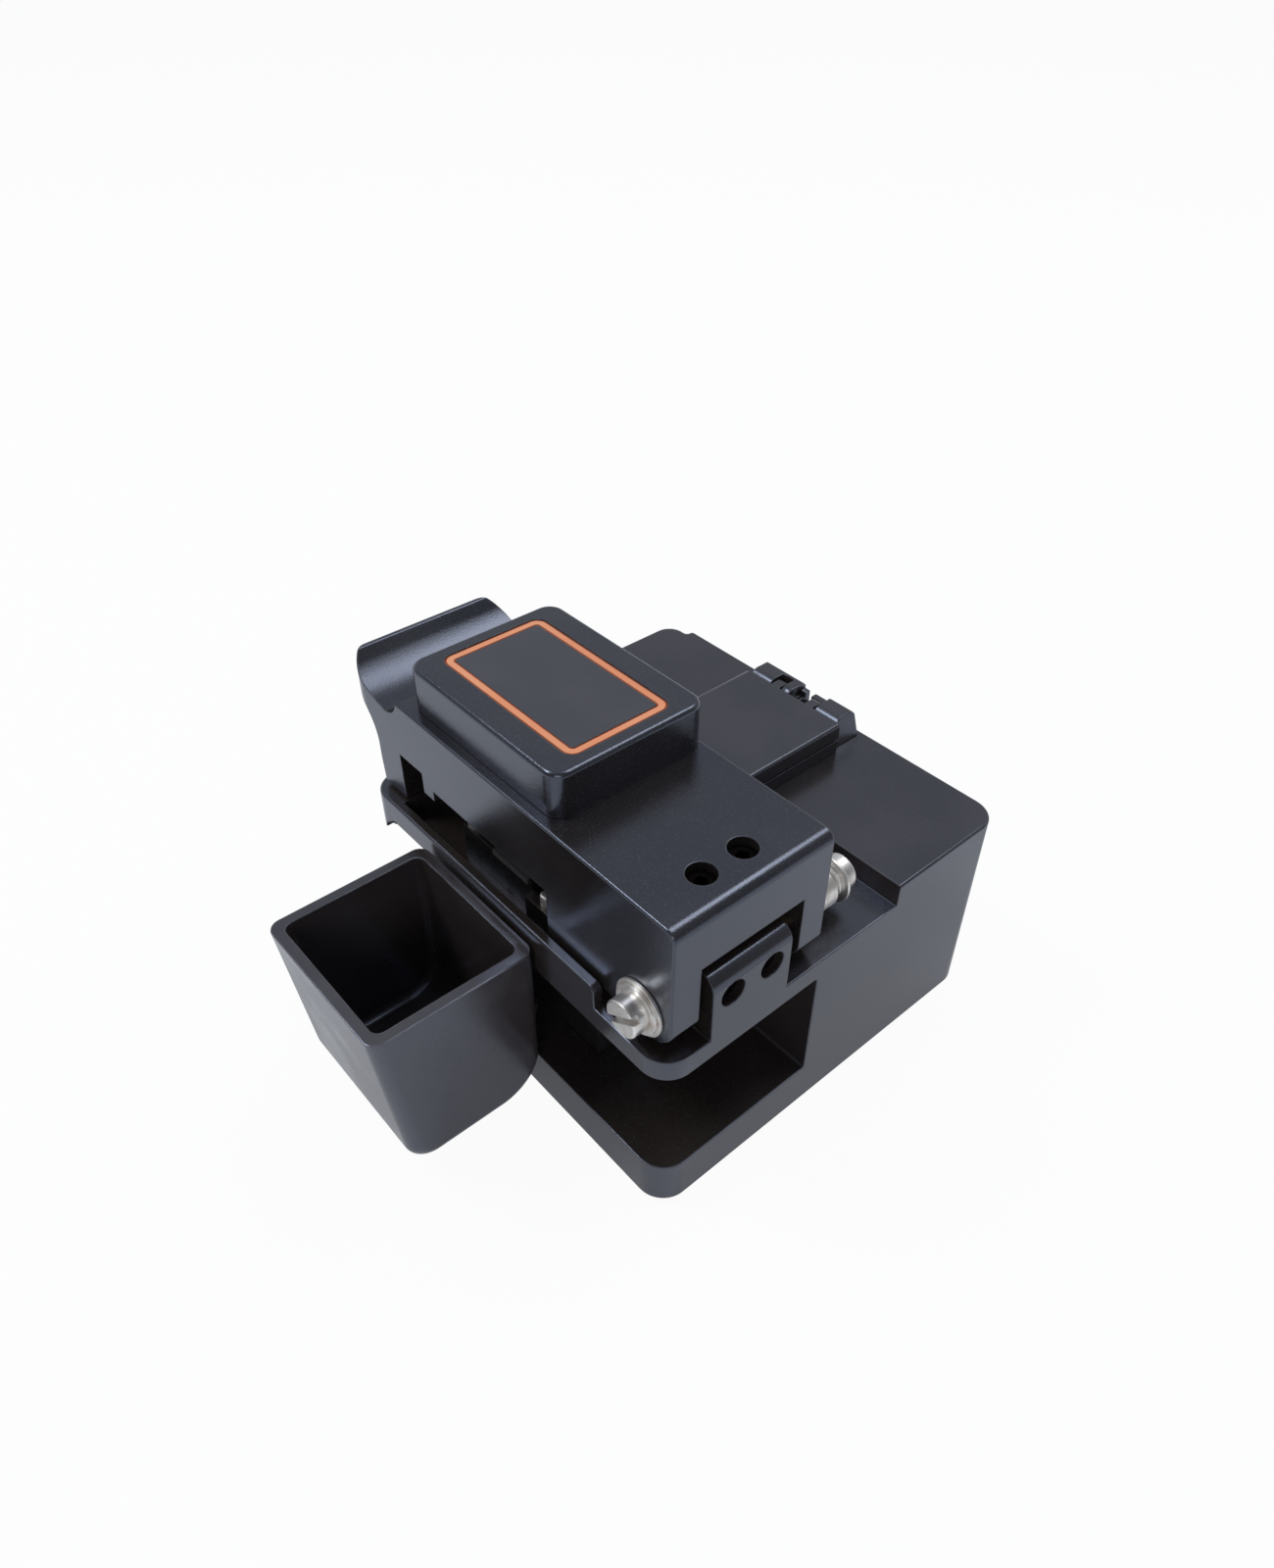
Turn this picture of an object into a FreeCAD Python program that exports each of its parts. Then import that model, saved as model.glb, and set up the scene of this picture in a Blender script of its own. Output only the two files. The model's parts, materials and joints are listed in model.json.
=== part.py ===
"""Fibre cleaver with a channel-shaped lid, a sliding blade and a lift-off scrap bin.

Frame: millimetres, +Z up, bench at z = 0, origin at the centre of the body's footprint.
+X points to the scrap bin, +Y to the lid's hinge and -Y to the user's thumb lip.
"""
import FreeCAD, Part
import math
import os
from FreeCAD import Vector

# ---- body: base plate, tall fixture block, cantilever deck -------------------------------
BODY_WIDTH = 62.0
BODY_DEPTH = 66.0
MAT_DROP = 1.0
MAT_RECESS = 0.6
MAT_INSET = 3.0
BASE_THICKNESS = 7.0
HOLLOW_HEIGHT = 17.9
HOLLOW_WIDTH = 25.7
DECK_THICKNESS = 3.2
DECK_SETBACK = 3.7
RELIEF_INSET = 2.7
RELIEF_LENGTH = 26.0
RELIEF_RUN = 4.3
RELIEF_RISE = 3.1
RELIEF_DEPTH = 1.55
BLOCK_RISE = 3.4
BODY_CORNER = 4.0
DECK_CORNER = 3.8
FRONT_STEP_WIDTH = 1.3
FRONT_STEP_LENGTH = 4.0
FRONT_CORNER = 2.8
FRONT_STEP_CORNER = 0.6
RIM_WIDTH = 1.4
RIM_END_INSET = 12.4
POCKET_WIDTH = 14.7
POCKET_MARGIN = 1.5
EDGE_SOFT = 0.5
TOP_EDGE = 0.4

# ---- lid ---------------------------------------------------------------------------------
LID_WIDTH = 24.6
LID_SIDE_INSET = 1.87
LID_NEAR_INSET = 1.0
LID_RISE = 15.3
LID_WALL = 4.2
LID_WEB = 8.0
LID_EDGE = 1.6
LID_SIDE_EDGE = 0.35
LID_SIDE_GAP = 0.4
SKIRT_GAP = 1.9
ARM_RADIUS = 3.7
LEG_THICKNESS = 5.6
LEG_INSET = 1.3
LIP_REACH = 6.6
LIP_RISE = 1.8
LIP_EDGE = 1.2
LIP_ROOT_DROP = 9.9
LIP_SWEEP = 0.29
GROOVE_START = 6.4
GROOVE_DEPTH = 2.6
NOTCH_NEAR = 10.5
NOTCH_FAR = 13.6
NOTCH_RISE = 4.4
TOOTH_WIDTH = 2.5
TOOTH_RISE = 2.8
SECOND_NOTCH_RISE = 6.0
LIP_CORNER = 5.0
HINGE_INSET = 6.1
HINGE_RISE = 5.0

# ---- hinge post and screws ----------------------------------------------------------------
POST_WIDTH = 12.7
POST_DEPTH = 11.5
POST_RISE = 10.0
POST_NEAR_EDGE = 2.2
POST_FAR_EDGE = 1.5
SPACER_THICKNESS = 1.1
PIVOT_RADIUS = 1.5
PIVOT_DEPTH = 5.5
BUSH_WALL = 0.8
WASHER_RADIUS = 3.8
WASHER_THICKNESS = 0.45
COLLAR_RADIUS = 2.95
COLLAR_LENGTH = 5.2
DISC_SPRINGS = 2
DISC_SPRING_RADIUS = 2.4
DISC_SPRING_HEIGHT = 0.7
HEAD_RADIUS = 2.5
HEAD_THICKNESS = 2.2
HEAD_EDGE = 0.3
SLOT_WIDTH = 0.9
SLOT_DEPTH = 0.9
SLOT_ANGLE = 34.0
SET_SCREW_RADIUS = 1.8
SET_SCREW_SPACING = 6.3
SET_SCREW_RECESS = 1.2
SET_SCREW_OFFSET = 1.1

# ---- housing and label on the lid ---------------------------------------------------------
HOUSING_WIDTH = 23.2
HOUSING_LENGTH = 30.6
HOUSING_HEIGHT = 6.5
HOUSING_CENTRE_Y = -4.7
HOUSING_SIDE_INSET = 1.5
HOUSING_CORNER = 2.4
HOUSING_EDGE = 0.7
LABEL_WIDTH = 15.6
LABEL_LENGTH = 26.4
LABEL_CORNER = 1.6
LABEL_BORDER = 1.3
LABEL_RECESS = 0.45

# ---- fibre line, anvils, clamps, break anvil ----------------------------------------------
FIBRE_Y = -1.0
FIBRE_RISE = 5.5
ANVIL_WIDTH = 4.7
ANVIL_LENGTH = 15.3
ANVIL_OFFSET = 3.0
ANVIL_LEDGE_LENGTH = 5.0
ANVIL_LEDGE_RISE = 4.2
PAD_LENGTH = 7.6
PAD_THICKNESS = 0.8
PAD_GAP = 0.3
UPPER_PAD_WIDTH = 1.95
CLAMP_THICKNESS = 2.0
CLAMP_TRAVEL = 0.8
CLAMP_WIDTH = 10.4
BREAK_TIP_WIDTH = 1.6
BREAK_TIP_LENGTH = 5.0
BREAK_STEM_RADIUS = 1.5
CLIP_GROOVE_RADIUS = 1.2
GUIDE_RADIUS = 1.0
GUIDE_SPACING = 7.2
GUIDE_STAGGER = 6.6
GUIDE_DEPTH = 5.0
GUIDE_HEAD = 0.8
GUIDE_HEAD_RADIUS = 1.6
SPRING_RADIUS = 1.45
SPRING_DEPTH = 2.5
WIRE_RADIUS = 0.2
BREAK_SPRING_RADIUS = 2.0
CLAMP_LEG = 1.8
MAGNET_RADIUS = 2.5
MAGNET_THICKNESS = 1.5
LID_MAGNET_RADIUS = 2.0
KEEPER_WIDTH = 8.0
KEEPER_LENGTH = 4.4
KEEPER_DEPTH = 2.0
SMALL_SCREW_RADIUS = 0.75
SMALL_HEAD_RADIUS = 1.5
SMALL_HEAD_HEIGHT = 1.4
PAN_HEAD_RADIUS = 1.2
PAN_HEAD_HEIGHT = 0.7
SMALL_SCREW_INSET = 1.6
ANVIL_SCREW_PITCH = 3.2
STOP_PIN_RADIUS = 0.8
STOP_PIN_RISE = 6.0
STOP_PIN_OFFSET = 7.7

# ---- blade, bracket, carriage, rail -------------------------------------------------------
BLADE_RADIUS = 8.0
BLADE_THICKNESS = 1.2
BLADE_SHIFT = 12.0
BLADE_STROKE = 24.0
BLADE_LIFT = 0.05
BRACKET_THICKNESS = 2.2
BRACKET_LENGTH = 12.0
AXLE_RADIUS = 1.5
AXLE_HEAD = 1.3
AXLE_HEAD_RADIUS = 3.0
AXLE_SLOT = 0.6
BEVEL = 1.44
BRACKET_FOOT = 2.5
BRACKET_FOOT_THICKNESS = 1.8
BRACKET_SCREW_DEPTH = 3.2
INDEX_POSITIONS = 16
INDEX_RADIUS = 0.3
RAIL_WIDTH = 7.0
RAIL_HEIGHT = 3.6
RAIL_INSET = 5.0
CARRIAGE_WIDTH = 16.0
CARRIAGE_HEIGHT = 9.6
CARRIAGE_LENGTH = 30.0
PUSH_PAD_THICKNESS = 4.0
PUSH_PAD_HEIGHT = 14.0
PUSH_PAD_SIDE = 1.0
PUSH_PAD_GROOVES = 5
PUSH_PAD_GROOVE_RADIUS = 0.58

# ---- fibre fixture ------------------------------------------------------------------------
FIXTURE_LENGTH = 28.0
FIXTURE_WIDTH = 19.2
FIXTURE_BASE = 2.1
FIXTURE_COVER = 2.5
FIXTURE_CENTRE_Y = -0.7
FIXTURE_GAP = 1.0
COVER_FAR_EDGE = 1.25
EAR_LENGTH = 5.4
EAR_CHAMFER = 0.6
NEAR_EAR_INSET = 0.6
EAR_SLOPE = 1.3
EAR_WALL = 1.1
SILL_RISE = 0.8
KNUCKLE_RADIUS = 1.3
KNUCKLE_WIDTH = 1.6
FIXTURE_PIN_RADIUS = 0.6
CABLE_WAY = 3.0
CABLE_GROOVE = 1.1
FIBRE_GROOVE = 0.6

# ---- scrap bin ----------------------------------------------------------------------------
BIN_LENGTH = 23.2
BIN_WIDTH = 25.4
BIN_DROP = 2.0
BIN_HEIGHT = 26.2
BIN_WALL = 1.6
BIN_LEAN = 2.6
BIN_CENTRE_Y = -2.8
BIN_GAP = 0.3
BIN_CORNER = 1.8
BIN_INNER_CORNER = 1.2
BIN_BODY_BEND = 7.0
BIN_OUTER_BEND = 4.0
TONGUE_LENGTH = 5.0
TONGUE_WIDTH = 11.0
TONGUE_THICKNESS = 2.2
TONGUE_MAGNET_RADIUS = 1.7

# ---- clearances ---------------------------------------------------------------------------
RUNNING = 0.05
SLIDING = 0.1
SEATED = 0.02
CLEAR = 0.3
TINY = 1e-3

# ---- levels and faces worked out from the sizes --------------------------------------------
bin_side = BODY_WIDTH / 2
fixture_side = -BODY_WIDTH / 2
hinge_end = BODY_DEPTH / 2
user_end = -BODY_DEPTH / 2
base_top = MAT_DROP + BASE_THICKNESS
deck_under = base_top + HOLLOW_HEIGHT
deck_top = deck_under + DECK_THICKNESS
block_top = deck_top + BLOCK_RISE
hollow_x = bin_side - HOLLOW_WIDTH
deck_end = user_end + DECK_SETBACK

lid_bin = bin_side - LID_SIDE_INSET
lid_fixture = lid_bin - LID_WIDTH
lid_middle = (lid_bin + lid_fixture) / 2
lid_near = hinge_end - LID_NEAR_INSET
lid_far = deck_end + LEG_INSET
leg_near = lid_far + LEG_THICKNESS
leg_under = block_top + CLEAR * 2
hinge_y = hinge_end - HINGE_INSET
hinge_z = deck_top + HINGE_RISE
lid_top = hinge_z + LID_RISE
web_under = lid_top - LID_WEB
channel_bin = lid_bin - LID_WALL
channel_fixture = lid_fixture + LID_WALL

post_bin = channel_bin - SPACER_THICKNESS
post_fixture = post_bin - POST_WIDTH
post_far = hinge_end - POST_DEPTH
post_top = deck_top + POST_RISE

fibre_z = deck_top + FIBRE_RISE
blade_y = FIBRE_Y + BLADE_SHIFT
blade_z = fibre_z + BLADE_LIFT - BLADE_RADIUS
fixture_near = FIXTURE_CENTRE_Y + FIXTURE_WIDTH / 2
fixture_far = FIXTURE_CENTRE_Y - FIXTURE_WIDTH / 2
fixture_start = lid_fixture - FIXTURE_GAP
fixture_end = fixture_start - FIXTURE_LENGTH
pocket_far = fixture_near + POCKET_MARGIN
rail_top = base_top + RAIL_HEIGHT
carriage_under = base_top + CLEAR
carriage_top = carriage_under + CARRIAGE_HEIGHT


# ---- small building blocks ----------------------------------------------------------------
def block(x0, x1, y0, y1, z0, z1):
    return Part.makeBox(x1 - x0, y1 - y0, z1 - z0, Vector(x0, y0, z0))


def rod_x(y, z, radius, x0, x1):
    return Part.makeCylinder(radius, x1 - x0, Vector(x0, y, z), Vector(1, 0, 0))


def rod_y(x, z, radius, y0, y1):
    return Part.makeCylinder(radius, y1 - y0, Vector(x, y0, z), Vector(0, 1, 0))


def rod_z(x, y, radius, z0, z1):
    return Part.makeCylinder(radius, z1 - z0, Vector(x, y, z0), Vector(0, 0, 1))


def prism(place, depth, start, *steps):
    """Solid from a closed outline; a step is a corner, or (point on the arc, corner) for an arc."""
    edges = []
    here = start
    for step in steps + (start,):
        through, end = step if isinstance(step[0], tuple) else (None, step)
        if math.dist(here, end) < TINY:
            continue
        if through:
            edges.append(Part.Arc(place(*here), place(*through), place(*end)).toShape())
        else:
            edges.append(Part.makeLine(place(*here), place(*end)))
        here = end
    return Part.Face(Part.Wire(edges)).extrude(depth)


def profile_yz(x0, x1, start, *steps):
    return prism(lambda y, z: Vector(x0, y, z), Vector(x1 - x0, 0, 0), start, *steps)


def profile_xz(y0, y1, start, *steps):
    return prism(lambda x, z: Vector(x, y0, z), Vector(0, y1 - y0, 0), start, *steps)


def edges_along(shape, axis, keep=lambda centre: True):
    """Straight edges parallel to an axis whose mid point passes a test."""
    spans = {"x": (1, 2), "y": (0, 2), "z": (0, 1)}[axis]
    found = []
    for edge in shape.Edges:
        box = edge.BoundBox
        lengths = (box.XLength, box.YLength, box.ZLength)
        if max(lengths[span] for span in spans) < TINY and keep(edge.CenterOfMass):
            found.append(edge)
    return found


def rounded_block(x0, x1, y0, y1, z0, z1, corner):
    solid = block(x0, x1, y0, y1, z0, z1)
    return solid.makeFillet(corner, edges_along(solid, "z"))


def round_rim(shape, radius, level):
    """Rounds every edge that lies in the horizontal plane at a level."""
    rim = [e for e in shape.Edges if e.BoundBox.ZLength < TINY and near(e.CenterOfMass.z, level)]
    return shape.makeFillet(radius, rim)


def near(value, target):
    return abs(value - target) < TINY


def slotted_head(y, z, x_in, x_out):
    """Cheese head of a pivot screw; x_out is the slotted face."""
    low, high = min(x_in, x_out), max(x_in, x_out)
    head = rod_x(y, z, HEAD_RADIUS, low, high)
    toward = math.copysign(1, x_out - x_in)
    slot = block(x_out - SLOT_DEPTH, x_out + SLOT_DEPTH, y - 2 * HEAD_RADIUS, y + 2 * HEAD_RADIUS,
                 z - SLOT_WIDTH / 2, z + SLOT_WIDTH / 2)
    slot.rotate(Vector(x_out, y, z), Vector(1, 0, 0), SLOT_ANGLE * toward)
    edge = [e for e in head.Edges if near(e.CenterOfMass.x, x_out)]
    return head.makeFillet(HEAD_EDGE, edge).cut(slot)


def hex_socket(radius, depth, base, axis):
    corners = [Vector(radius * math.cos(math.radians(a)), radius * math.sin(math.radians(a)), 0)
               for a in range(0, 361, 60)]
    solid = Part.Face(Part.makePolygon(corners)).extrude(Vector(0, 0, depth))
    solid.Placement = FreeCAD.Placement(base, FreeCAD.Rotation(Vector(0, 0, 1), axis))
    return solid


def coil(x, y, z0, z1, radius, wire, turns):
    """Compression spring standing on z0 with its top at z1, of square wire."""
    rise = z1 - z0 - wire
    helix = Part.makeHelix(rise / turns, rise, radius)
    helix.translate(Vector(x, y, z0))
    inner, outer = x + radius - wire / 2, x + radius + wire / 2
    corners = [(inner, z0), (outer, z0), (outer, z0 + wire), (inner, z0 + wire), (inner, z0)]
    section = Part.makePolygon([Vector(cx, y, cz) for cx, cz in corners])
    return Part.Wire(helix).makePipeShell([section], True, True)


# ---- body ---------------------------------------------------------------------------------
def body():
    solid = block(fixture_side, bin_side, user_end, hinge_end, MAT_DROP, block_top)
    step_end = user_end + FRONT_STEP_LENGTH
    step_x = fixture_side + FRONT_STEP_WIDTH
    solid = solid.cut(block(fixture_side, step_x, user_end, step_end, MAT_DROP, block_top))
    solid = solid.cut(block(hollow_x, bin_side, user_end, deck_end, base_top, block_top))
    deck = edges_along(solid, "z", lambda c: near(c.x, bin_side) and near(c.y, deck_end))
    solid = solid.makeFillet(DECK_CORNER, deck)
    corner = edges_along(solid, "z", lambda c: near(c.y, user_end) and near(c.x, step_x))
    solid = solid.makeFillet(FRONT_CORNER, corner)
    outer = edges_along(solid, "z", lambda c: near(abs(c.x), bin_side) and near(abs(c.y), hinge_end))
    solid = solid.makeFillet(BODY_CORNER, outer)
    step = edges_along(solid, "z", lambda c: near(c.y, step_end))
    solid = solid.makeFillet(FRONT_STEP_CORNER, step)
    solid = round_rim(solid, TOP_EDGE, block_top)
    return solid.cut(hollow()).cut(deck_cuts()).fuse(post()).cut(body_bores()).removeSplitter()


def hollow():
    """Tunnel under the deck, open to the bin side and at both ends."""
    past = bin_side + CLEAR
    tunnel = block(hollow_x, past, user_end - CLEAR, hinge_end + CLEAR, base_top, deck_under)
    inner = edges_along(tunnel, "y", lambda c: near(c.x, hollow_x))
    return tunnel.makeFillet(EDGE_SOFT, inner).fuse(finger_relief())


def finger_relief():
    """Slope along the lower edge of the deck's bin side, rounded out at both ends."""
    far = deck_end + RELIEF_INSET
    close = far + RELIEF_LENGTH
    top = deck_under + RELIEF_RISE
    radius = (RELIEF_RUN ** 2 + RELIEF_RISE ** 2) / (2 * RELIEF_RISE)
    half_run = RELIEF_RUN / 2
    half_z = top - radius + math.sqrt(radius ** 2 - half_run ** 2)
    ends = profile_yz(bin_side - RELIEF_DEPTH, bin_side, (far, deck_under),
                      ((far + half_run, half_z), (far + RELIEF_RUN, top)), (close - RELIEF_RUN, top),
                      ((close - half_run, half_z), (close, deck_under)))
    slope = profile_xz(far, close, (bin_side, deck_under), (bin_side, top),
                       (bin_side - RELIEF_DEPTH, deck_under))
    return slope.common(ends)


def deck_cuts():
    """Everything milled from above: the low floor under the lid, the hinge pocket, the blade slot."""
    top = block_top + CLEAR
    rim_in = bin_side - RIM_WIDTH
    floor_x = lid_fixture - LID_SIDE_GAP
    floor = block(floor_x, rim_in, leg_near, hinge_end + CLEAR, deck_top, top)
    pocket_x = hollow_x - POCKET_WIDTH
    pocket = block(pocket_x, bin_side + CLEAR, pocket_far, hinge_end + CLEAR, deck_top, top)
    pocket = pocket.makeFillet(EDGE_SOFT, edges_along(pocket, "z", lambda c: near(c.x, pocket_x)))
    rim_end = hinge_end - RIM_END_INSET
    keep = block(rim_in, bin_side + CLEAR, pocket_far, rim_end, deck_top, block_top)
    drop = edges_along(keep, "x", lambda c: near(c.y, rim_end) and near(c.z, block_top))
    keep = keep.makeFillet(EDGE_SOFT * 2, drop)
    return floor.fuse([pocket.cut(keep), blade_slot()])


def blade_slot():
    reach = BLADE_RADIUS + CLEAR * 2
    half = BRACKET_THICKNESS + BLADE_THICKNESS + CLEAR
    return rounded_block(lid_middle - half, lid_middle + half + CLEAR * 2, blade_y - BLADE_STROKE - reach,
                         blade_y + reach, deck_under - CLEAR, deck_top + CLEAR, EDGE_SOFT * 2)


def post():
    solid = block(post_fixture, post_bin, post_far, hinge_end, deck_top, post_top)
    for radius, side in ((POST_NEAR_EDGE, hinge_end), (POST_FAR_EDGE, post_far)):
        top = edges_along(solid, "x", lambda c: near(c.z, post_top) and near(c.y, side))
        solid = solid.makeFillet(radius, top)
    return solid


def set_screw_places():
    middle = (post_bin + post_fixture) / 2
    return [middle - SET_SCREW_SPACING / 2, middle + SET_SCREW_SPACING / 2]


def body_bores():
    bores = [mat_block(SEATED, MAT_DROP)]
    bores.append(rod_x(hinge_y, hinge_z, PIVOT_RADIUS + SEATED, post_bin - PIVOT_DEPTH, post_bin))
    bores.append(rod_x(hinge_y, hinge_z, PIVOT_RADIUS + SEATED, post_fixture, post_fixture + PIVOT_DEPTH))
    for x in set_screw_places():
        bores.append(rod_y(x, set_screw_z(), SET_SCREW_RADIUS + SEATED, set_screw_tip(), hinge_end))
    x, y = bin_magnet_place()
    bores.append(rod_z(x, y, MAGNET_RADIUS + SEATED, base_top - MAGNET_THICKNESS, base_top))
    bores.append(keeper_block(SEATED, block_top))
    return bores[0].fuse(bores[1:])


def set_screw_z():
    return hinge_z + SET_SCREW_OFFSET


def set_screw_tip():
    return hinge_y + PIVOT_RADIUS + RUNNING


def bin_magnet_place():
    return bin_side + BIN_GAP - TONGUE_LENGTH / 2, BIN_CENTRE_Y


def mat_block(spare, z0):
    half_x = BODY_WIDTH / 2 - MAT_INSET + spare
    half_y = BODY_DEPTH / 2 - MAT_INSET + spare
    return rounded_block(-half_x, half_x, -half_y, half_y, z0, MAT_DROP + MAT_RECESS, BODY_CORNER)


def base_mat():
    """Rubber sheet in the underside that the cleaver stands on."""
    return [mat_block(0, 0)]


# ---- hinge hardware -----------------------------------------------------------------------
def hinge_sides():
    """For each pivot screw: post face, arm's inner face, arm's outer face, outward direction."""
    return [(post_bin, channel_bin, lid_bin, 1), (post_fixture, channel_fixture, lid_fixture, -1)]


def outer_washer_starts():
    """The bin side's two washers touch; the fixture side has a collar and disc springs between."""
    springs = DISC_SPRINGS * DISC_SPRING_HEIGHT
    return [lid_bin + RUNNING + WASHER_THICKNESS, lid_fixture - RUNNING - COLLAR_LENGTH - springs]


def x_rod(radius, x_a, x_b):
    return rod_x(hinge_y, hinge_z, radius, min(x_a, x_b), max(x_a, x_b))


def hinge_screws():
    screws = []
    for (post_face, _, _, out), start in zip(hinge_sides(), outer_washer_starts()):
        seat = start + out * WASHER_THICKNESS
        shank = x_rod(PIVOT_RADIUS, post_face - out * (PIVOT_DEPTH - CLEAR), seat)
        screws.append(shank.fuse(slotted_head(hinge_y, hinge_z, seat, seat + out * HEAD_THICKNESS)))
    return screws


def washer(radius, x_a, x_b):
    return x_rod(radius, x_a, x_b).cut(x_rod(PIVOT_RADIUS + SEATED, x_a, x_b))


def inner_washers():
    bin_start = lid_bin + RUNNING
    collar_start = lid_fixture - RUNNING
    return [washer(WASHER_RADIUS, bin_start, bin_start + WASHER_THICKNESS),
            washer(COLLAR_RADIUS, collar_start, collar_start - COLLAR_LENGTH)]


def outer_washers():
    radius = WASHER_RADIUS - WASHER_THICKNESS
    bin_start, fixture_side_start = outer_washer_starts()
    return [washer(radius, bin_start, bin_start + WASHER_THICKNESS),
            washer(radius, fixture_side_start, fixture_side_start - WASHER_THICKNESS)]


def disc_springs():
    """Cone springs that give the lid's hinge its drag, set alternately on wide and narrow ends."""
    height = DISC_SPRING_HEIGHT - SEATED
    sheet = DISC_SPRING_HEIGHT / 2
    rings = []
    for index in range(DISC_SPRINGS):
        x = outer_washer_starts()[1] + index * DISC_SPRING_HEIGHT + SEATED / 2
        narrow, wide = (0, height - sheet) if index % 2 else (height - sheet, 0)
        section = [(narrow, PIVOT_RADIUS + RUNNING), (wide, DISC_SPRING_RADIUS),
                   (wide + sheet, DISC_SPRING_RADIUS), (narrow + sheet, PIVOT_RADIUS + RUNNING),
                   (narrow, PIVOT_RADIUS + RUNNING)]
        corners = [Vector(x + along, hinge_y, hinge_z + r) for along, r in section]
        face = Part.Face(Part.makePolygon(corners))
        rings.append(face.revolve(Vector(0, hinge_y, hinge_z), Vector(1, 0, 0), 360))
    return rings


def hinge_spacers():
    rings = []
    for post_face, arm_in, _, out in hinge_sides():
        end = arm_in - out * RUNNING
        outer = x_rod(PIVOT_RADIUS + BUSH_WALL, post_face, end)
        rings.append(outer.cut(x_rod(PIVOT_RADIUS + SEATED, post_face, end)))
    return rings


def hinge_bushes():
    rings = []
    for _, arm_in, arm_out, _ in hinge_sides():
        outer = x_rod(PIVOT_RADIUS + BUSH_WALL, arm_in, arm_out)
        rings.append(outer.cut(x_rod(PIVOT_RADIUS + RUNNING, arm_in, arm_out)))
    return rings


def post_set_screws():
    screws = []
    for x in set_screw_places():
        stem = rod_y(x, set_screw_z(), SET_SCREW_RADIUS, set_screw_tip(), hinge_end - SET_SCREW_RECESS)
        socket = hex_socket(SET_SCREW_RADIUS / 2, SET_SCREW_RECESS,
                            Vector(x, hinge_end - SET_SCREW_RECESS, set_screw_z()), Vector(0, -1, 0))
        screws.append(stem.cut(socket))
    return screws


# ---- lid ----------------------------------------------------------------------------------
lip_tip = lid_far - LIP_REACH
lip_top = lid_top + LIP_RISE


def lid():
    solid = profile_yz(lid_fixture, lid_bin, *lid_outline())
    solid = solid.common(lid_plan())
    solid = solid.makeFillet(LID_SIDE_EDGE, edges_along(solid, "y", lambda c: near(c.z, lid_top)))
    channel = block(channel_fixture, channel_bin, leg_near, hinge_end + CLEAR,
                    leg_under - LID_RISE, web_under)
    channel = channel.makeFillet(EDGE_SOFT * 2, edges_along(channel, "z", lambda c: near(c.y, leg_near)))
    solid = solid.cut(channel)
    return solid.cut(lid_bores()).removeSplitter()


def lid_outline():
    """Side view: square near end, round arms, notched skirt, far leg, thumb lip and groove."""
    skirt_under = deck_top + SKIRT_GAP
    arm_under = hinge_z - ARM_RADIUS
    diagonal = math.sqrt(0.5)
    near_in = lid_near - LID_EDGE
    edge_mid = (near_in + LID_EDGE * diagonal, lid_top - LID_EDGE * (1 - diagonal))
    groove_y = lid_far + GROOVE_START
    groove_z = lid_top - GROOVE_DEPTH
    bottom_y = groove_y - GROOVE_DEPTH * 1.5
    notch_near = FIBRE_Y + NOTCH_NEAR
    notch_far = FIBRE_Y - NOTCH_FAR
    tooth_far = notch_far - TOOTH_WIDTH
    notch_top = fibre_z + NOTCH_RISE
    tooth_under = fibre_z + TOOTH_RISE
    second_top = fibre_z + SECOND_NOTCH_RISE
    tip_in = lip_tip + LIP_EDGE
    crest_in = tip_in + LIP_EDGE
    crest_z = lip_top - LIP_EDGE
    side = lid_top - GROOVE_DEPTH
    return [
        (lid_near, lid_top - LID_EDGE),
        (edge_mid, (near_in, lid_top)),
        (groove_y, lid_top),
        ((groove_y - GROOVE_DEPTH / 2, groove_z + GROOVE_DEPTH / 5), (bottom_y, groove_z)),
        ((lip_tip + LIP_REACH, groove_z + GROOVE_DEPTH / 4), (crest_in, crest_z)),
        (tip_in, lip_top),
        ((lip_tip + LIP_EDGE / 5, lip_top - LIP_EDGE / 5), (lip_tip, crest_z)),
        ((lip_tip + LIP_SWEEP * LIP_REACH, crest_z - 2.5 * LIP_EDGE),
         (lid_far - LIP_SWEEP * LIP_REACH, side - GROOVE_DEPTH)),
        ((lid_far - LIP_EDGE / 2, side - 1.8 * GROOVE_DEPTH), (lid_far, lid_top - LIP_ROOT_DROP)),
        (lid_far, leg_under + 2 * SKIRT_GAP),
        (lid_far + CLEAR, leg_under),
        (leg_near, leg_under),
        (leg_near, second_top),
        (tooth_far, second_top),
        (tooth_far, tooth_under),
        (notch_far, tooth_under),
        (notch_far, notch_top),
        (notch_near, notch_top),
        (notch_near, skirt_under),
        (hinge_y - 2 * ARM_RADIUS, skirt_under),
        (hinge_y, arm_under),
        ((hinge_y + ARM_RADIUS, hinge_z - ARM_RADIUS * 0.83), (lid_near, hinge_z - ARM_RADIUS * 0.27)),
    ]


def lid_plan():
    """Plan of the lid over its whole height, with the lip's round corners."""
    low, high = deck_top, lip_top + CLEAR
    plan = block(lid_fixture, lid_bin, lip_tip, lid_near, low, high)
    return plan.makeFillet(LIP_CORNER, edges_along(plan, "z", lambda c: near(c.y, lip_tip)))


def guide_places():
    return [(lid_middle + side * GUIDE_SPACING / 2, FIBRE_Y + side * GUIDE_STAGGER / 2)
            for side in (-1, 1)]


def housing_screw_places():
    offset = HOUSING_LENGTH / 2 - 2 * HOUSING_CORNER
    return [(lid_middle, HOUSING_CENTRE_Y - offset), (lid_middle, HOUSING_CENTRE_Y + offset)]


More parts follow.
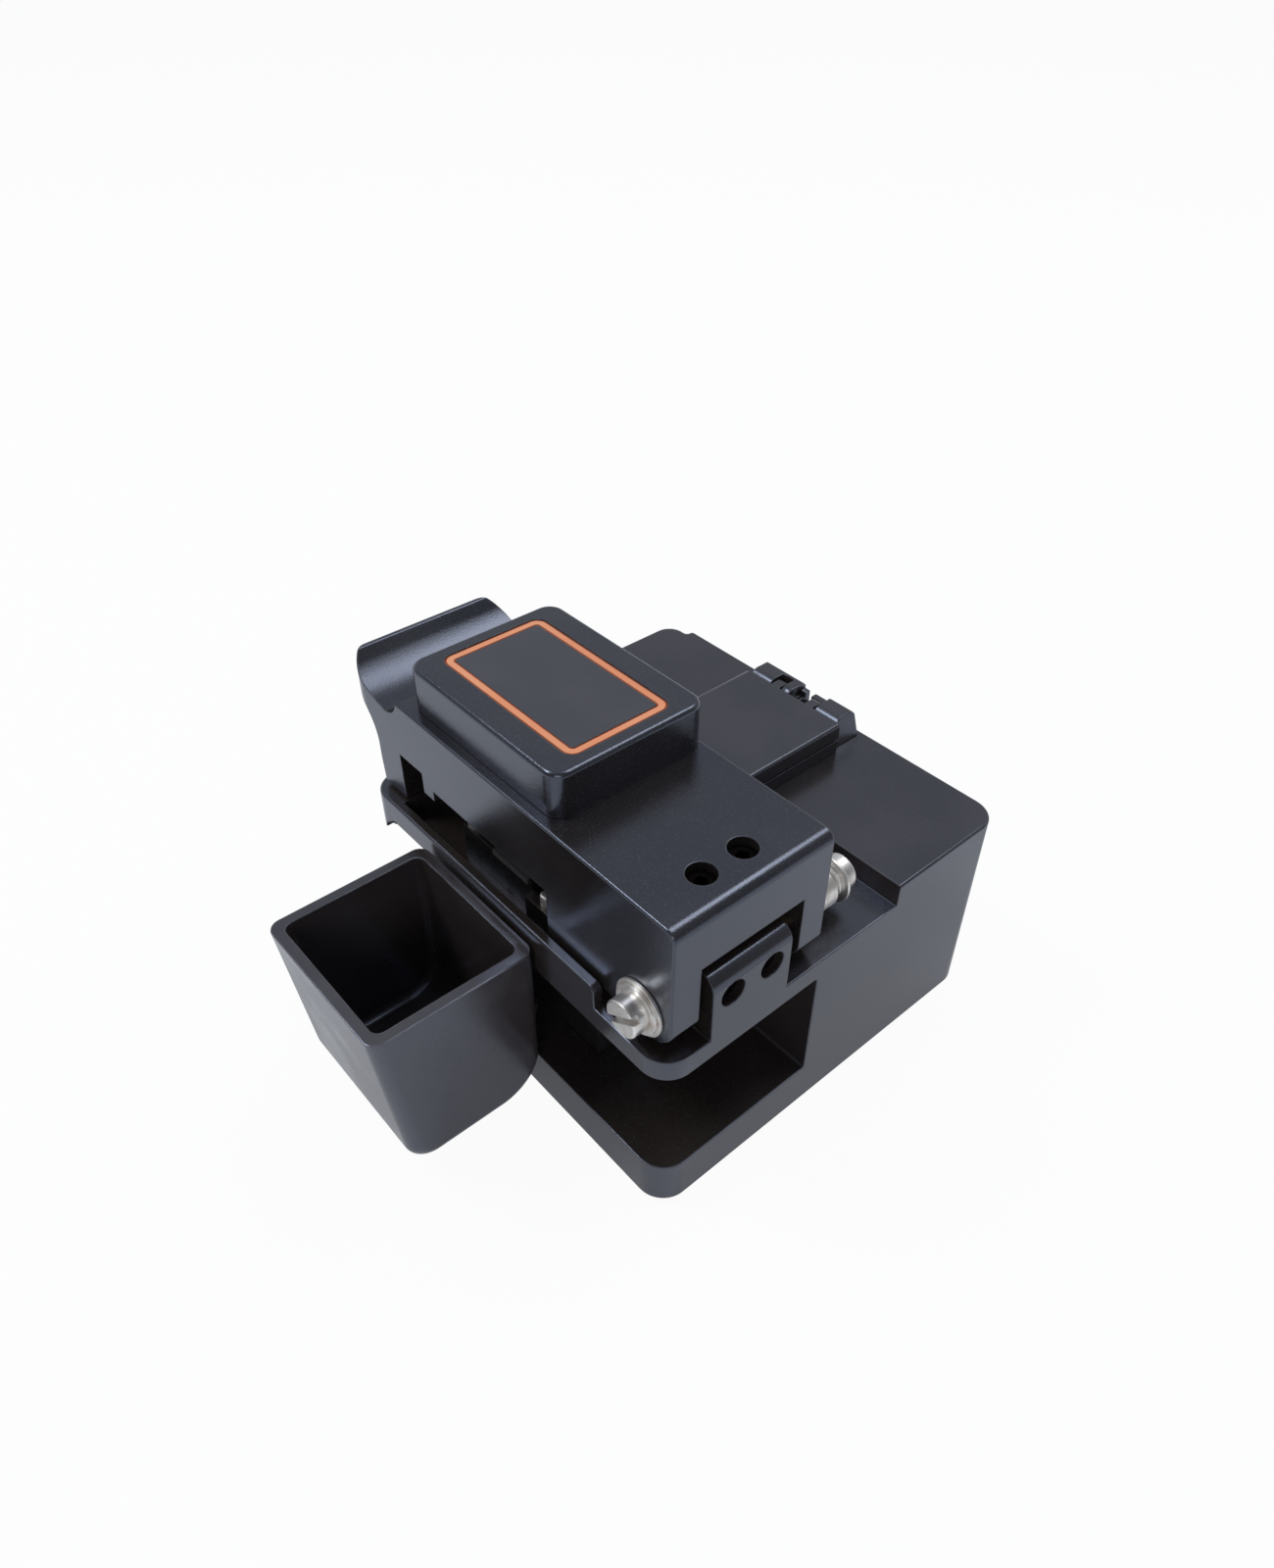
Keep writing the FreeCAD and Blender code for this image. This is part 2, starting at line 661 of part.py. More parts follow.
def lid_bores():
    bores = []
    for _, arm_in, arm_out, _ in hinge_sides():
        bores.append(x_rod(PIVOT_RADIUS + BUSH_WALL + SEATED, arm_in, arm_out))
    for x in set_screw_places():
        bores.append(rod_z(x, hinge_y, SET_SCREW_RADIUS + SEATED, web_under, lid_top))
    for x, y in guide_places():
        bores.append(rod_z(x, y, GUIDE_RADIUS + SEATED, web_under, web_under + GUIDE_DEPTH))
        bores.append(rod_z(x, y, SPRING_RADIUS + WIRE_RADIUS + CLEAR, web_under, web_under + SPRING_DEPTH))
    bores.append(rod_z(lid_middle, FIBRE_Y, BREAK_STEM_RADIUS + RUNNING, web_under, lid_top))
    bores.append(rod_z(lid_middle, FIBRE_Y, BREAK_SPRING_RADIUS + WIRE_RADIUS + CLEAR,
                       web_under, web_under + SPRING_DEPTH))
    for x, y in housing_screw_places():
        bores.append(rod_z(x, y, SMALL_SCREW_RADIUS + SEATED, web_under, lid_top))
        bores.append(rod_z(x, y, SMALL_HEAD_RADIUS + SEATED, web_under, web_under + SMALL_HEAD_HEIGHT))
    bores.append(rod_z(lid_middle, magnet_y(), LID_MAGNET_RADIUS + SEATED,
                       leg_under, leg_under + MAGNET_THICKNESS))
    return bores[0].fuse(bores[1:])


def magnet_y():
    return (lid_far + leg_near) / 2


def lid_magnet():
    return [rod_z(lid_middle, magnet_y(), LID_MAGNET_RADIUS, leg_under, leg_under + MAGNET_THICKNESS)]


def keeper_block(spare, top):
    half_x = KEEPER_WIDTH / 2 + spare
    half_y = KEEPER_LENGTH / 2 + spare
    return rounded_block(lid_middle - half_x, lid_middle + half_x, magnet_y() - half_y,
                         magnet_y() + half_y, block_top - KEEPER_DEPTH, top, EDGE_SOFT)


def keeper():
    """Steel block let into the deck's far wall that the lid's magnet closes on."""
    return [keeper_block(0, leg_under - CLEAR)]


def lid_set_screws():
    screws = []
    for x in set_screw_places():
        stem = rod_z(x, hinge_y, SET_SCREW_RADIUS, web_under, lid_top - SET_SCREW_RECESS)
        base = Vector(x, hinge_y, lid_top - SET_SCREW_RECESS)
        screws.append(stem.cut(hex_socket(SET_SCREW_RADIUS / 2, SET_SCREW_RECESS, base, Vector(0, 0, -1))))
    return screws


# ---- housing and label --------------------------------------------------------------------
def housing_box():
    x = housing_x()
    half_x = HOUSING_WIDTH / 2
    half_y = HOUSING_LENGTH / 2
    return rounded_block(x - half_x, x + half_x, HOUSING_CENTRE_Y - half_y, HOUSING_CENTRE_Y + half_y,
                         lid_top, housing_top, HOUSING_CORNER)


def housing_x():
    return lid_bin - HOUSING_SIDE_INSET - HOUSING_WIDTH / 2


def label_box(inset, z0, z1):
    half_x = LABEL_WIDTH / 2 - inset
    half_y = LABEL_LENGTH / 2 - inset
    x = housing_x()
    corner = max(LABEL_CORNER - inset, LABEL_CORNER / 4)
    return rounded_block(x - half_x, x + half_x, HOUSING_CENTRE_Y - half_y, HOUSING_CENTRE_Y + half_y,
                         z0, z1, corner)


housing_top = lid_top + HOUSING_HEIGHT
label_floor = housing_top - LABEL_RECESS


def housing():
    solid = round_rim(housing_box(), HOUSING_EDGE, housing_top)
    solid = solid.cut(label_box(-SEATED, label_floor, housing_top))
    cavity = rod_z(lid_middle, FIBRE_Y, BREAK_SPRING_RADIUS * 2, lid_top, lid_top + HOUSING_HEIGHT / 2)
    solid = solid.cut(cavity)
    for x, y in housing_screw_places():
        thread = rod_z(x, y, SMALL_SCREW_RADIUS + SEATED, lid_top, lid_top + HOUSING_HEIGHT / 2)
        solid = solid.cut(thread)
    return [solid]


def label_frame():
    outer = label_box(0, label_floor, housing_top - LABEL_RECESS / 3)
    return [outer.cut(label_box(LABEL_BORDER, label_floor, housing_top))]


def label_plate():
    return [label_box(LABEL_BORDER + SEATED, label_floor, housing_top - LABEL_RECESS / 3)]


def housing_screws():
    screws = []
    for x, y in housing_screw_places():
        head = rod_z(x, y, SMALL_HEAD_RADIUS, web_under, web_under + SMALL_HEAD_HEIGHT)
        shank = rod_z(x, y, SMALL_SCREW_RADIUS, web_under, lid_top + HOUSING_HEIGHT / 2 - CLEAR)
        base = Vector(x, y, web_under)
        socket = hex_socket(SMALL_SCREW_RADIUS, SMALL_HEAD_HEIGHT / 2, base, Vector(0, 0, 1))
        screws.append(head.fuse(shank).cut(socket))
    return screws


# ---- clamps and break anvil in the lid ----------------------------------------------------
pad_under = fibre_z + PAD_GAP
clamp_leg_under = pad_under + PAD_THICKNESS
clamp_under = clamp_leg_under + CLAMP_LEG
clamp_top = clamp_under + CLAMP_THICKNESS


def upper_pad_spans():
    """X spans of the clamp's legs, just inside the lid's channel, over the lower anvils."""
    low = channel_fixture + 2 * CLEAR
    high = channel_bin - 2 * CLEAR
    return [(low, low + UPPER_PAD_WIDTH), (high - UPPER_PAD_WIDTH, high)]


def clamp_beam():
    (low, low_in), (high_in, high) = upper_pad_spans()
    y0, y1 = FIBRE_Y - CLAMP_WIDTH / 2, FIBRE_Y + CLAMP_WIDTH / 2
    plate = block(low, high, y0, y1, clamp_under, clamp_top)
    legs = [block(low, low_in, y0, y1, clamp_leg_under, clamp_under),
            block(high_in, high, y0, y1, clamp_leg_under, clamp_under)]
    window = block(lid_middle - BREAK_STEM_RADIUS - 2 * CLEAR, lid_middle + BREAK_STEM_RADIUS + 2 * CLEAR,
                   FIBRE_Y - BREAK_TIP_LENGTH / 2 - CLEAR, FIBRE_Y + BREAK_TIP_LENGTH / 2 + CLEAR,
                   clamp_under, clamp_top)
    window = window.makeFillet(EDGE_SOFT, edges_along(window, "z"))
    solid = plate.fuse(legs).removeSplitter()
    solid = solid.makeFillet(EDGE_SOFT, edges_along(solid, "y", lambda c: near(c.z, clamp_top)))
    for x, y in guide_places():
        window = window.fuse(rod_z(x, y, GUIDE_RADIUS + RUNNING, clamp_under, clamp_top))
    return [solid.cut(window)]


def upper_pads():
    pads = []
    for low, high in upper_pad_spans():
        pad = block(low, high, FIBRE_Y - PAD_LENGTH / 2, FIBRE_Y + PAD_LENGTH / 2,
                    pad_under, clamp_leg_under)
        edges = edges_along(pad, "x", lambda c: near(c.z, pad_under))
        pads.append(pad.makeFillet(PAD_THICKNESS / 3, edges))
    return pads


def guide_pins():
    pins = []
    for x, y in guide_places():
        pin = rod_z(x, y, GUIDE_RADIUS, clamp_under - RUNNING, web_under + GUIDE_DEPTH)
        head = rod_z(x, y, GUIDE_HEAD_RADIUS, clamp_under - RUNNING - GUIDE_HEAD, clamp_under - RUNNING)
        pins.append(pin.fuse(head))
    return pins


def clamp_springs():
    return [coil(x, y, clamp_top + SEATED, web_under + SPRING_DEPTH - SEATED, SPRING_RADIUS,
                 2 * WIRE_RADIUS, 4) for x, y in guide_places()]


tip_under = fibre_z + BLADE_LIFT + CLEAR
flange_under = clamp_top + CLAMP_TRAVEL + SLIDING
flange_top = flange_under + GUIDE_HEAD


def break_anvil():
    tip = block(lid_middle - BREAK_TIP_WIDTH / 2, lid_middle + BREAK_TIP_WIDTH / 2,
                FIBRE_Y - BREAK_TIP_LENGTH / 2, FIBRE_Y + BREAK_TIP_LENGTH / 2, tip_under, clamp_under)
    tip = tip.makeFillet(BREAK_TIP_WIDTH / 4, edges_along(tip, "y", lambda c: near(c.z, tip_under)))
    stem = rod_z(lid_middle, FIBRE_Y, BREAK_STEM_RADIUS, clamp_under - CLEAR, lid_top + 2 * GUIDE_HEAD)
    flange = rod_z(lid_middle, FIBRE_Y, BREAK_SPRING_RADIUS + WIRE_RADIUS, flange_under, flange_top)
    z0, z1 = clip_levels()
    groove = rod_z(lid_middle, FIBRE_Y, BREAK_STEM_RADIUS + CLEAR, z0, z1)
    groove = groove.cut(rod_z(lid_middle, FIBRE_Y, CLIP_GROOVE_RADIUS, z0, z1))
    return [tip.fuse([stem, flange]).cut(groove)]


def clip_levels():
    return lid_top + SEATED, lid_top + SEATED + GUIDE_HEAD / 2


def break_clip():
    z0, z1 = clip_levels()
    outer = rod_z(lid_middle, FIBRE_Y, BREAK_SPRING_RADIUS + WIRE_RADIUS, z0, z1)
    gap = block(lid_middle, lid_middle + 2 * BREAK_SPRING_RADIUS, FIBRE_Y - BREAK_STEM_RADIUS / 2,
                FIBRE_Y + BREAK_STEM_RADIUS / 2, z0, z1)
    return [outer.cut(rod_z(lid_middle, FIBRE_Y, CLIP_GROOVE_RADIUS + SEATED, z0, z1)).cut(gap)]


def break_spring():
    return [coil(lid_middle, FIBRE_Y, flange_top + SEATED, web_under + SPRING_DEPTH - SEATED,
                 BREAK_SPRING_RADIUS, 2 * WIRE_RADIUS, 3)]


# ---- lower anvils on the deck --------------------------------------------------------------
def anvil_centres():
    (_, fixture_edge), (bin_edge, _) = upper_pad_spans()
    return [fixture_edge - ANVIL_WIDTH / 2, bin_edge + ANVIL_WIDTH / 2]


def anvil_y_span():
    middle = FIBRE_Y - ANVIL_OFFSET
    return middle - ANVIL_LENGTH / 2, middle + ANVIL_LENGTH / 2


def outward_of(x):
    return 1 if x > lid_middle else -1


def anvil_screw_places(x):
    """The screws stand outboard on the anvil, clear of the clamp's pads."""
    low, _ = anvil_y_span()
    outboard = x + outward_of(x) * (ANVIL_WIDTH / 2 - PAN_HEAD_RADIUS - SLIDING)
    return [(outboard, low + SMALL_SCREW_INSET), (x, low + SMALL_SCREW_INSET + ANVIL_SCREW_PITCH)]


def stop_pin_places():
    y = FIBRE_Y + STOP_PIN_OFFSET
    return [((channel_fixture + lid_fixture) / 2, y), ((channel_bin + lid_bin) / 2, y)]


def anvil(x):
    low, high = anvil_y_span()
    solid = block(x - ANVIL_WIDTH / 2, x + ANVIL_WIDTH / 2, low, high, deck_top, fibre_z)
    inner = x - outward_of(x) * ANVIL_WIDTH / 2
    outer = x + outward_of(x) * (ANVIL_WIDTH / 2 + STOP_PIN_RADIUS + RIM_WIDTH / 4)
    ledge = block(min(inner, outer), max(inner, outer), high, high + ANVIL_LEDGE_LENGTH,
                  deck_top, deck_top + ANVIL_LEDGE_RISE)
    solid = solid.fuse(ledge)
    solid = solid.makeFillet(EDGE_SOFT, edges_along(solid, "z", lambda c: not near(c.y, high)))
    cuts = [block(x - ANVIL_WIDTH / 2, x + ANVIL_WIDTH / 2, FIBRE_Y - PAD_LENGTH / 2,
                  FIBRE_Y + PAD_LENGTH / 2, fibre_z - PAD_THICKNESS, fibre_z)]
    for sx, sy in anvil_screw_places(x):
        cuts.append(rod_z(sx, sy, SMALL_SCREW_RADIUS + SEATED, deck_top, fibre_z))
    for px, py in stop_pin_places():
        cuts.append(rod_z(px, py, STOP_PIN_RADIUS + SEATED, deck_top, fibre_z))
    return [solid.cut(cuts[0].fuse(cuts[1:]))]


def lower_pads():
    pads = []
    for x in anvil_centres():
        pad = block(x - ANVIL_WIDTH / 2, x + ANVIL_WIDTH / 2, FIBRE_Y - PAD_LENGTH / 2 + SEATED,
                    FIBRE_Y + PAD_LENGTH / 2 - SEATED, fibre_z - PAD_THICKNESS, fibre_z)
        pads.append(pad)
    return pads


def anvil_screws():
    screws = []
    for centre in anvil_centres():
        for x, y in anvil_screw_places(centre):
            shank = rod_z(x, y, SMALL_SCREW_RADIUS, deck_top, fibre_z)
            head = rod_z(x, y, PAN_HEAD_RADIUS, fibre_z, fibre_z + PAN_HEAD_HEIGHT)
            half = PAN_HEAD_RADIUS / 6
            slot = block(x - SMALL_HEAD_RADIUS, x + SMALL_HEAD_RADIUS, y - half, y + half,
                         fibre_z + PAN_HEAD_HEIGHT / 2, fibre_z + SMALL_HEAD_HEIGHT)
            screws.append(shank.fuse(head).cut(slot))
    return screws


def stop_pins():
    """Two short pins in the anvils' ledges, hinge side, that the fibre is laid against."""
    pins = []
    for x, y in stop_pin_places():
        pin = rod_z(x, y, STOP_PIN_RADIUS, deck_top, deck_top + STOP_PIN_RISE)
        pins.append(round_rim(pin, STOP_PIN_RADIUS / 3, deck_top + STOP_PIN_RISE))
    return pins


# ---- blade carriage -----------------------------------------------------------------------
carriage_hinge_end = blade_y + BRACKET_FOOT
carriage_user_end = carriage_hinge_end - CARRIAGE_LENGTH
bracket_in = lid_middle + BLADE_THICKNESS / 2 + SLIDING
bracket_out = bracket_in + BRACKET_THICKNESS
bracket_foot_top = carriage_top + BRACKET_FOOT_THICKNESS
axle_head_in = lid_middle - BLADE_THICKNESS / 2 - SLIDING


rail_far = user_end + RAIL_INSET
rail_near = carriage_hinge_end


def rail_screw_places():
    middle = (rail_far + rail_near) / 2
    pitch = (rail_near - rail_far) / 3
    return [(lid_middle, middle - pitch), (lid_middle, middle), (lid_middle, middle + pitch)]


def rail():
    x0, x1 = lid_middle - RAIL_WIDTH / 2, lid_middle + RAIL_WIDTH / 2
    waist = RAIL_HEIGHT / 6
    solid = profile_xz(rail_far, rail_near, (x0, base_top), (x1, base_top),
                       (x1, base_top + RAIL_HEIGHT / 3), (x1 - waist, base_top + RAIL_HEIGHT / 2),
                       (x1, base_top + RAIL_HEIGHT * 2 / 3), (x1, rail_top), (x0, rail_top),
                       (x0, base_top + RAIL_HEIGHT * 2 / 3), (x0 + waist, base_top + RAIL_HEIGHT / 2),
                       (x0, base_top + RAIL_HEIGHT / 3))
    for x, y in rail_screw_places():
        solid = solid.cut(rod_z(x, y, SMALL_HEAD_RADIUS + SEATED, rail_top - SMALL_HEAD_HEIGHT, rail_top))
        solid = solid.cut(rod_z(x, y, SMALL_SCREW_RADIUS + SEATED, base_top, rail_top))
    return [solid]


def rail_screws():
    screws = []
    for x, y in rail_screw_places():
        head = rod_z(x, y, SMALL_HEAD_RADIUS, rail_top - SMALL_HEAD_HEIGHT, rail_top)
        shank = rod_z(x, y, SMALL_SCREW_RADIUS, base_top, rail_top)
        base = Vector(x, y, rail_top)
        socket = hex_socket(SMALL_SCREW_RADIUS, SMALL_HEAD_HEIGHT / 2, base, Vector(0, 0, -1))
        screws.append(head.fuse(shank).cut(socket))
    return screws


def rail_channel(y0):
    """What the rail needs clear through the carriage and the push pad."""
    half = RAIL_WIDTH / 2 + SLIDING
    return block(lid_middle - half, lid_middle + half, y0, carriage_hinge_end,
                 carriage_under, rail_top + SLIDING)


def carriage():
    """Block that straddles the rail."""
    half = CARRIAGE_WIDTH / 2
    solid = block(lid_middle - half, lid_middle + half, carriage_user_end, carriage_hinge_end,
                  carriage_under, carriage_top)
    solid = solid.makeFillet(EDGE_SOFT * 2, edges_along(solid, "y", lambda c: near(c.z, carriage_top)))
    cuts = [rail_channel(carriage_user_end)]
    for x, y in bracket_screw_places():
        cuts.append(rod_z(x, y, SMALL_SCREW_RADIUS + SEATED, carriage_top - BRACKET_SCREW_DEPTH,
                          carriage_top))
    return [solid.cut(cuts[0].fuse(cuts[1:]))]


def push_pad():
    """Ribbed thumb block on the carriage's user end."""
    half = CARRIAGE_WIDTH / 2 + PUSH_PAD_SIDE
    y0 = carriage_user_end - PUSH_PAD_THICKNESS
    z1 = carriage_under + PUSH_PAD_HEIGHT
    solid = block(lid_middle - half, lid_middle + half, y0, carriage_user_end, carriage_under, z1)
    solid = solid.makeFillet(PUSH_PAD_THICKNESS / 3, edges_along(solid, "z", lambda c: near(c.y, y0)))
    solid = solid.cut(rail_channel(y0))
    pitch = PUSH_PAD_HEIGHT / (PUSH_PAD_GROOVES + 1)
    for step in range(1, PUSH_PAD_GROOVES + 1):
        solid = solid.cut(rod_x(y0, carriage_under + step * pitch, PUSH_PAD_GROOVE_RADIUS,
                                lid_middle - half, lid_middle + half))
    return [solid]


def bracket_screw_places():
    x = (bracket_out + lid_middle + CARRIAGE_WIDTH / 2) / 2
    return [(x, blade_y - BRACKET_LENGTH / 2), (x, blade_y)]


def blade_bracket():
    """L-shaped bracket: foot on the carriage, upright beside the blade with a round boss."""
    boss = AXLE_RADIUS * 2
    foot_far = carriage_hinge_end - BRACKET_LENGTH
    foot = block(bracket_in, lid_middle + CARRIAGE_WIDTH / 2 - EDGE_SOFT * 2, foot_far, carriage_hinge_end,
                 carriage_top, bracket_foot_top)
    upright = profile_yz(bracket_in, bracket_out, (foot_far, bracket_foot_top), (blade_y - boss, blade_z),
                         ((blade_y, blade_z + boss), (blade_y + boss, blade_z)),
                         (carriage_hinge_end, bracket_foot_top))
    solid = foot.fuse(upright).removeSplitter()
    cuts = [rod_x(blade_y, blade_z, AXLE_RADIUS + SEATED, bracket_in, bracket_out)]
    for x, y in bracket_screw_places():
        cuts.append(rod_z(x, y, SMALL_SCREW_RADIUS + SEATED, carriage_top, bracket_foot_top))
    return [solid.cut(cuts[0].fuse(cuts[1:]))]


def bracket_screws():
    screws = []
    for x, y in bracket_screw_places():
        tip = carriage_top - BRACKET_SCREW_DEPTH + CLEAR
        shank = rod_z(x, y, SMALL_SCREW_RADIUS, tip, bracket_foot_top)
        head = rod_z(x, y, PAN_HEAD_RADIUS, bracket_foot_top, bracket_foot_top + PAN_HEAD_HEIGHT)
        screws.append(shank.fuse(head))
    return screws


def blade():
    """Wheel with a double-bevelled rim, turned on its axle to present a fresh stretch of edge."""
    half = BLADE_THICKNESS / 2
    bore = AXLE_RADIUS + RUNNING
    section = [(-half, bore), (half, bore), (half, BLADE_RADIUS - BEVEL), (0, BLADE_RADIUS),
               (-half, BLADE_RADIUS - BEVEL), (-half, bore)]
    corners = [Vector(lid_middle + x, blade_y, blade_z + r) for x, r in section]
    face = Part.Face(Part.makePolygon(corners))
    wheel = face.revolve(Vector(0, blade_y, blade_z), Vector(1, 0, 0), 360)
    marks = []
    for step in range(INDEX_POSITIONS):
        mark = rod_x(blade_y, blade_z + BLADE_RADIUS - 2 * BEVEL, INDEX_RADIUS,
                     lid_middle - half, lid_middle + half)
        mark.rotate(Vector(lid_middle, blade_y, blade_z), Vector(1, 0, 0), 360 / INDEX_POSITIONS * step)
        marks.append(mark)
    return [wheel.cut(marks[0].fuse(marks[1:]))]


def axle():
    """Shoulder screw that carries the blade; its slotted head clamps the wheel."""
    seat = axle_head_in
    shank = rod_x(blade_y, blade_z, AXLE_RADIUS, seat, bracket_out)
    head = rod_x(blade_y, blade_z, AXLE_HEAD_RADIUS, seat - AXLE_HEAD, seat)
    slot = block(seat - 2 * AXLE_HEAD, seat - AXLE_HEAD / 2, blade_y - BLADE_RADIUS, blade_y + BLADE_RADIUS,
                 blade_z - AXLE_SLOT / 2, blade_z + AXLE_SLOT / 2)
    return [shank.fuse(head).cut(slot)]


# ---- fibre fixture ------------------------------------------------------------------------
plate_top = block_top + FIXTURE_BASE
cover_under = plate_top + CLEAR
cover_top = cover_under + FIXTURE_COVER
ear_end = fixture_end - EAR_LENGTH
pin_x = fixture_end - EAR_LENGTH / 2
pin_z = cover_under
ear_top = pin_z + KNUCKLE_RADIUS + CLEAR
ear_near = fixture_near - NEAR_EAR_INSET


def cable_sides():
    """Y of the far and near side of the cable's way over the fixture's end."""
    return FIBRE_Y - CABLE_WAY / 2, FIBRE_Y + CABLE_WAY / 2


def cover_knuckle_starts():
    far, close = cable_sides()
    return [far - 2 * KNUCKLE_WIDTH - CLEAR, close + CLEAR]


def pin_spans():
    """The hinge pin is in two lengths, so that the cable's way between them stays open."""
    far, close = cable_sides()
    return [(fixture_far + CLEAR, far), (close, ear_near - EAR_SLOPE)]


def fixture_base():
    far, close = cable_sides()
    far_knuckle, near_knuckle = cover_knuckle_starts()
    near_ear = near_knuckle + KNUCKLE_WIDTH + CLEAR
    solid = block(fixture_end, fixture_start, fixture_far, fixture_near, block_top, plate_top)
    solid = solid.fuse([block(ear_end, fixture_end, far, close, block_top, plate_top),
                        block(ear_end, ear_end + EAR_WALL, far, near_ear, block_top, plate_top + SILL_RISE),
                        fixture_ear(fixture_far, far), fixture_ear(near_ear, ear_near)])
    slope = profile_yz(ear_end, fixture_end, (ear_near, block_top), (ear_near, ear_top),
                       (ear_near - EAR_SLOPE, ear_top))
    cuts = [slope, knuckle_room(far_knuckle - CLEAR, far_knuckle + KNUCKLE_WIDTH + CLEAR),
            block(ear_end, fixture_end + FIXTURE_LENGTH / 2, FIBRE_Y - CABLE_GROOVE / 2,
                  FIBRE_Y + CABLE_GROOVE / 2, plate_top - CABLE_GROOVE, plate_top + SILL_RISE),
            block(ear_end, fixture_start, FIBRE_Y - FIBRE_GROOVE / 2, FIBRE_Y + FIBRE_GROOVE / 2,
                  plate_top - FIBRE_GROOVE, plate_top)]
    for y0, y1 in pin_spans():
        cuts.append(rod_y(pin_x, pin_z, FIXTURE_PIN_RADIUS + SEATED, y0, y1))
    for x, y in fixture_screw_places():
        cuts.append(rod_z(x, y, SMALL_HEAD_RADIUS + SEATED, plate_top - SMALL_HEAD_HEIGHT, plate_top))
    return [solid.cut(cuts[0].fuse(cuts[1:])).removeSplitter()]


def fixture_ear(y0, y1):
    """Ear of the cover's hinge, round about the pin on the side that the cover sweeps."""
    radius = ear_top - pin_z
    foot_x = pin_x + math.sqrt(radius ** 2 - (pin_z - plate_top) ** 2)
    diagonal = radius * math.sqrt(0.5)
    return profile_xz(y0, y1, (ear_end, block_top), (fixture_end, block_top), (fixture_end, plate_top),
                      (foot_x, plate_top), ((pin_x + diagonal, pin_z + diagonal), (pin_x, ear_top)),
                      (ear_end + EAR_CHAMFER, ear_top), (ear_end, ear_top - EAR_CHAMFER))


def knuckle_room(y0, y1):
    """Gap in an ear that a knuckle of the cover turns in."""
    reach = KNUCKLE_RADIUS + CLEAR
    return rod_y(pin_x, pin_z, reach, y0, y1).fuse([
        block(pin_x, fixture_end, y0, y1, pin_z - reach, ear_top),
        block(pin_x - reach, pin_x, y0, y1, pin_z, ear_top)])


def fixture_screw_places():
    y = fixture_near - 2 * SMALL_HEAD_RADIUS
    return [(fixture_end + 3 * SMALL_HEAD_RADIUS, y), (fixture_start - 3 * SMALL_HEAD_RADIUS, y)]


def fixture_screws():
    screws = []
    for x, y in fixture_screw_places():
        head = rod_z(x, y, SMALL_HEAD_RADIUS, plate_top - SMALL_HEAD_HEIGHT, plate_top)
        socket = hex_socket(SMALL_SCREW_RADIUS, SMALL_HEAD_HEIGHT / 2, Vector(x, y, plate_top),
                            Vector(0, 0, -1))
        screws.append(head.cut(socket))
    return screws


def fixture_cover():
    """Plain hinged plate that holds the fibre down in its groove."""
    plate = block(fixture_end, fixture_start, fixture_far, fixture_near, cover_under, cover_top)
    for y, radius in ((fixture_far, COVER_FAR_EDGE), (fixture_near, EDGE_SOFT)):
        edge = edges_along(plate, "x", lambda c: near(c.z, cover_top) and near(c.y, y))
        plate = plate.makeFillet(radius, edge)
    knuckles = []
    for y0 in cover_knuckle_starts():
        y1 = y0 + KNUCKLE_WIDTH
        knuckles.append(rod_y(pin_x, pin_z, KNUCKLE_RADIUS, y0, y1))
        knuckles.append(block(pin_x, fixture_end, y0, y1, pin_z, pin_z + KNUCKLE_RADIUS))
    solid = plate.fuse(knuckles)
    bores = [rod_y(pin_x, pin_z, FIXTURE_PIN_RADIUS + RUNNING, y0, y1) for y0, y1 in pin_spans()]
    return [solid.cut(bores[0].fuse(bores[1:])).removeSplitter()]


def fixture_pins():
    return [rod_y(pin_x, pin_z, FIXTURE_PIN_RADIUS, y0, y1) for y0, y1 in pin_spans()]


# ---- scrap bin ----------------------------------------------------------------------------
def bin_solid(inset, corner):
    """The bin's outside, or its room at the wall's thickness inside; the outer wall leans in."""
    x0 = bin_side + BIN_GAP + inset
    x1 = bin_side + BIN_GAP + BIN_LENGTH - inset
    top = block_top - BIN_DROP
    floor = top - BIN_HEIGHT + inset
    half = BIN_WIDTH / 2 - inset
    body_bend = BIN_BODY_BEND - inset
    outer_bend = BIN_OUTER_BEND - inset
    solid = profile_xz(BIN_CENTRE_Y - half, BIN_CENTRE_Y + half, (x0, top), (x0, floor),
                       (x1 - BIN_LEAN, floor), (x1, top))
    for x, radius in ((x0, body_bend), (x1 - BIN_LEAN, outer_bend)):
        bend = edges_along(solid, "y", lambda c: near(c.z, floor) and near(c.x, x))
        solid = solid.makeFillet(radius, bend)
    sides = [edge for edge in solid.Edges if near(abs(edge.CenterOfMass.y - BIN_CENTRE_Y), half)
             and edge.BoundBox.YLength < TINY and not near(edge.CenterOfMass.z, top)]
    return solid.makeFillet(corner, sides)


def scrap_bin():
    outer = bin_solid(0, BIN_CORNER)
    inner = bin_solid(BIN_WALL, BIN_INNER_CORNER)
    tongue_z = base_top + SLIDING
    wall = bin_side + BIN_GAP
    tongue = block(wall - TONGUE_LENGTH, wall + BIN_WALL, BIN_CENTRE_Y - TONGUE_WIDTH / 2,
                   BIN_CENTRE_Y + TONGUE_WIDTH / 2, tongue_z, tongue_z + TONGUE_THICKNESS)
    tongue = tongue.makeFillet(EDGE_SOFT * 2, edges_along(tongue, "z", lambda c: c.x < bin_side))
    x, y = bin_magnet_place()
    seat = rod_z(x, y, TONGUE_MAGNET_RADIUS + SEATED, tongue_z, tongue_z + MAGNET_THICKNESS)
    return [outer.cut(inner).fuse(tongue).cut(seat).removeSplitter()]


def tongue_magnet():
    x, y = bin_magnet_place()
    z = base_top + SLIDING
    return [rod_z(x, y, TONGUE_MAGNET_RADIUS, z, z + MAGNET_THICKNESS)]


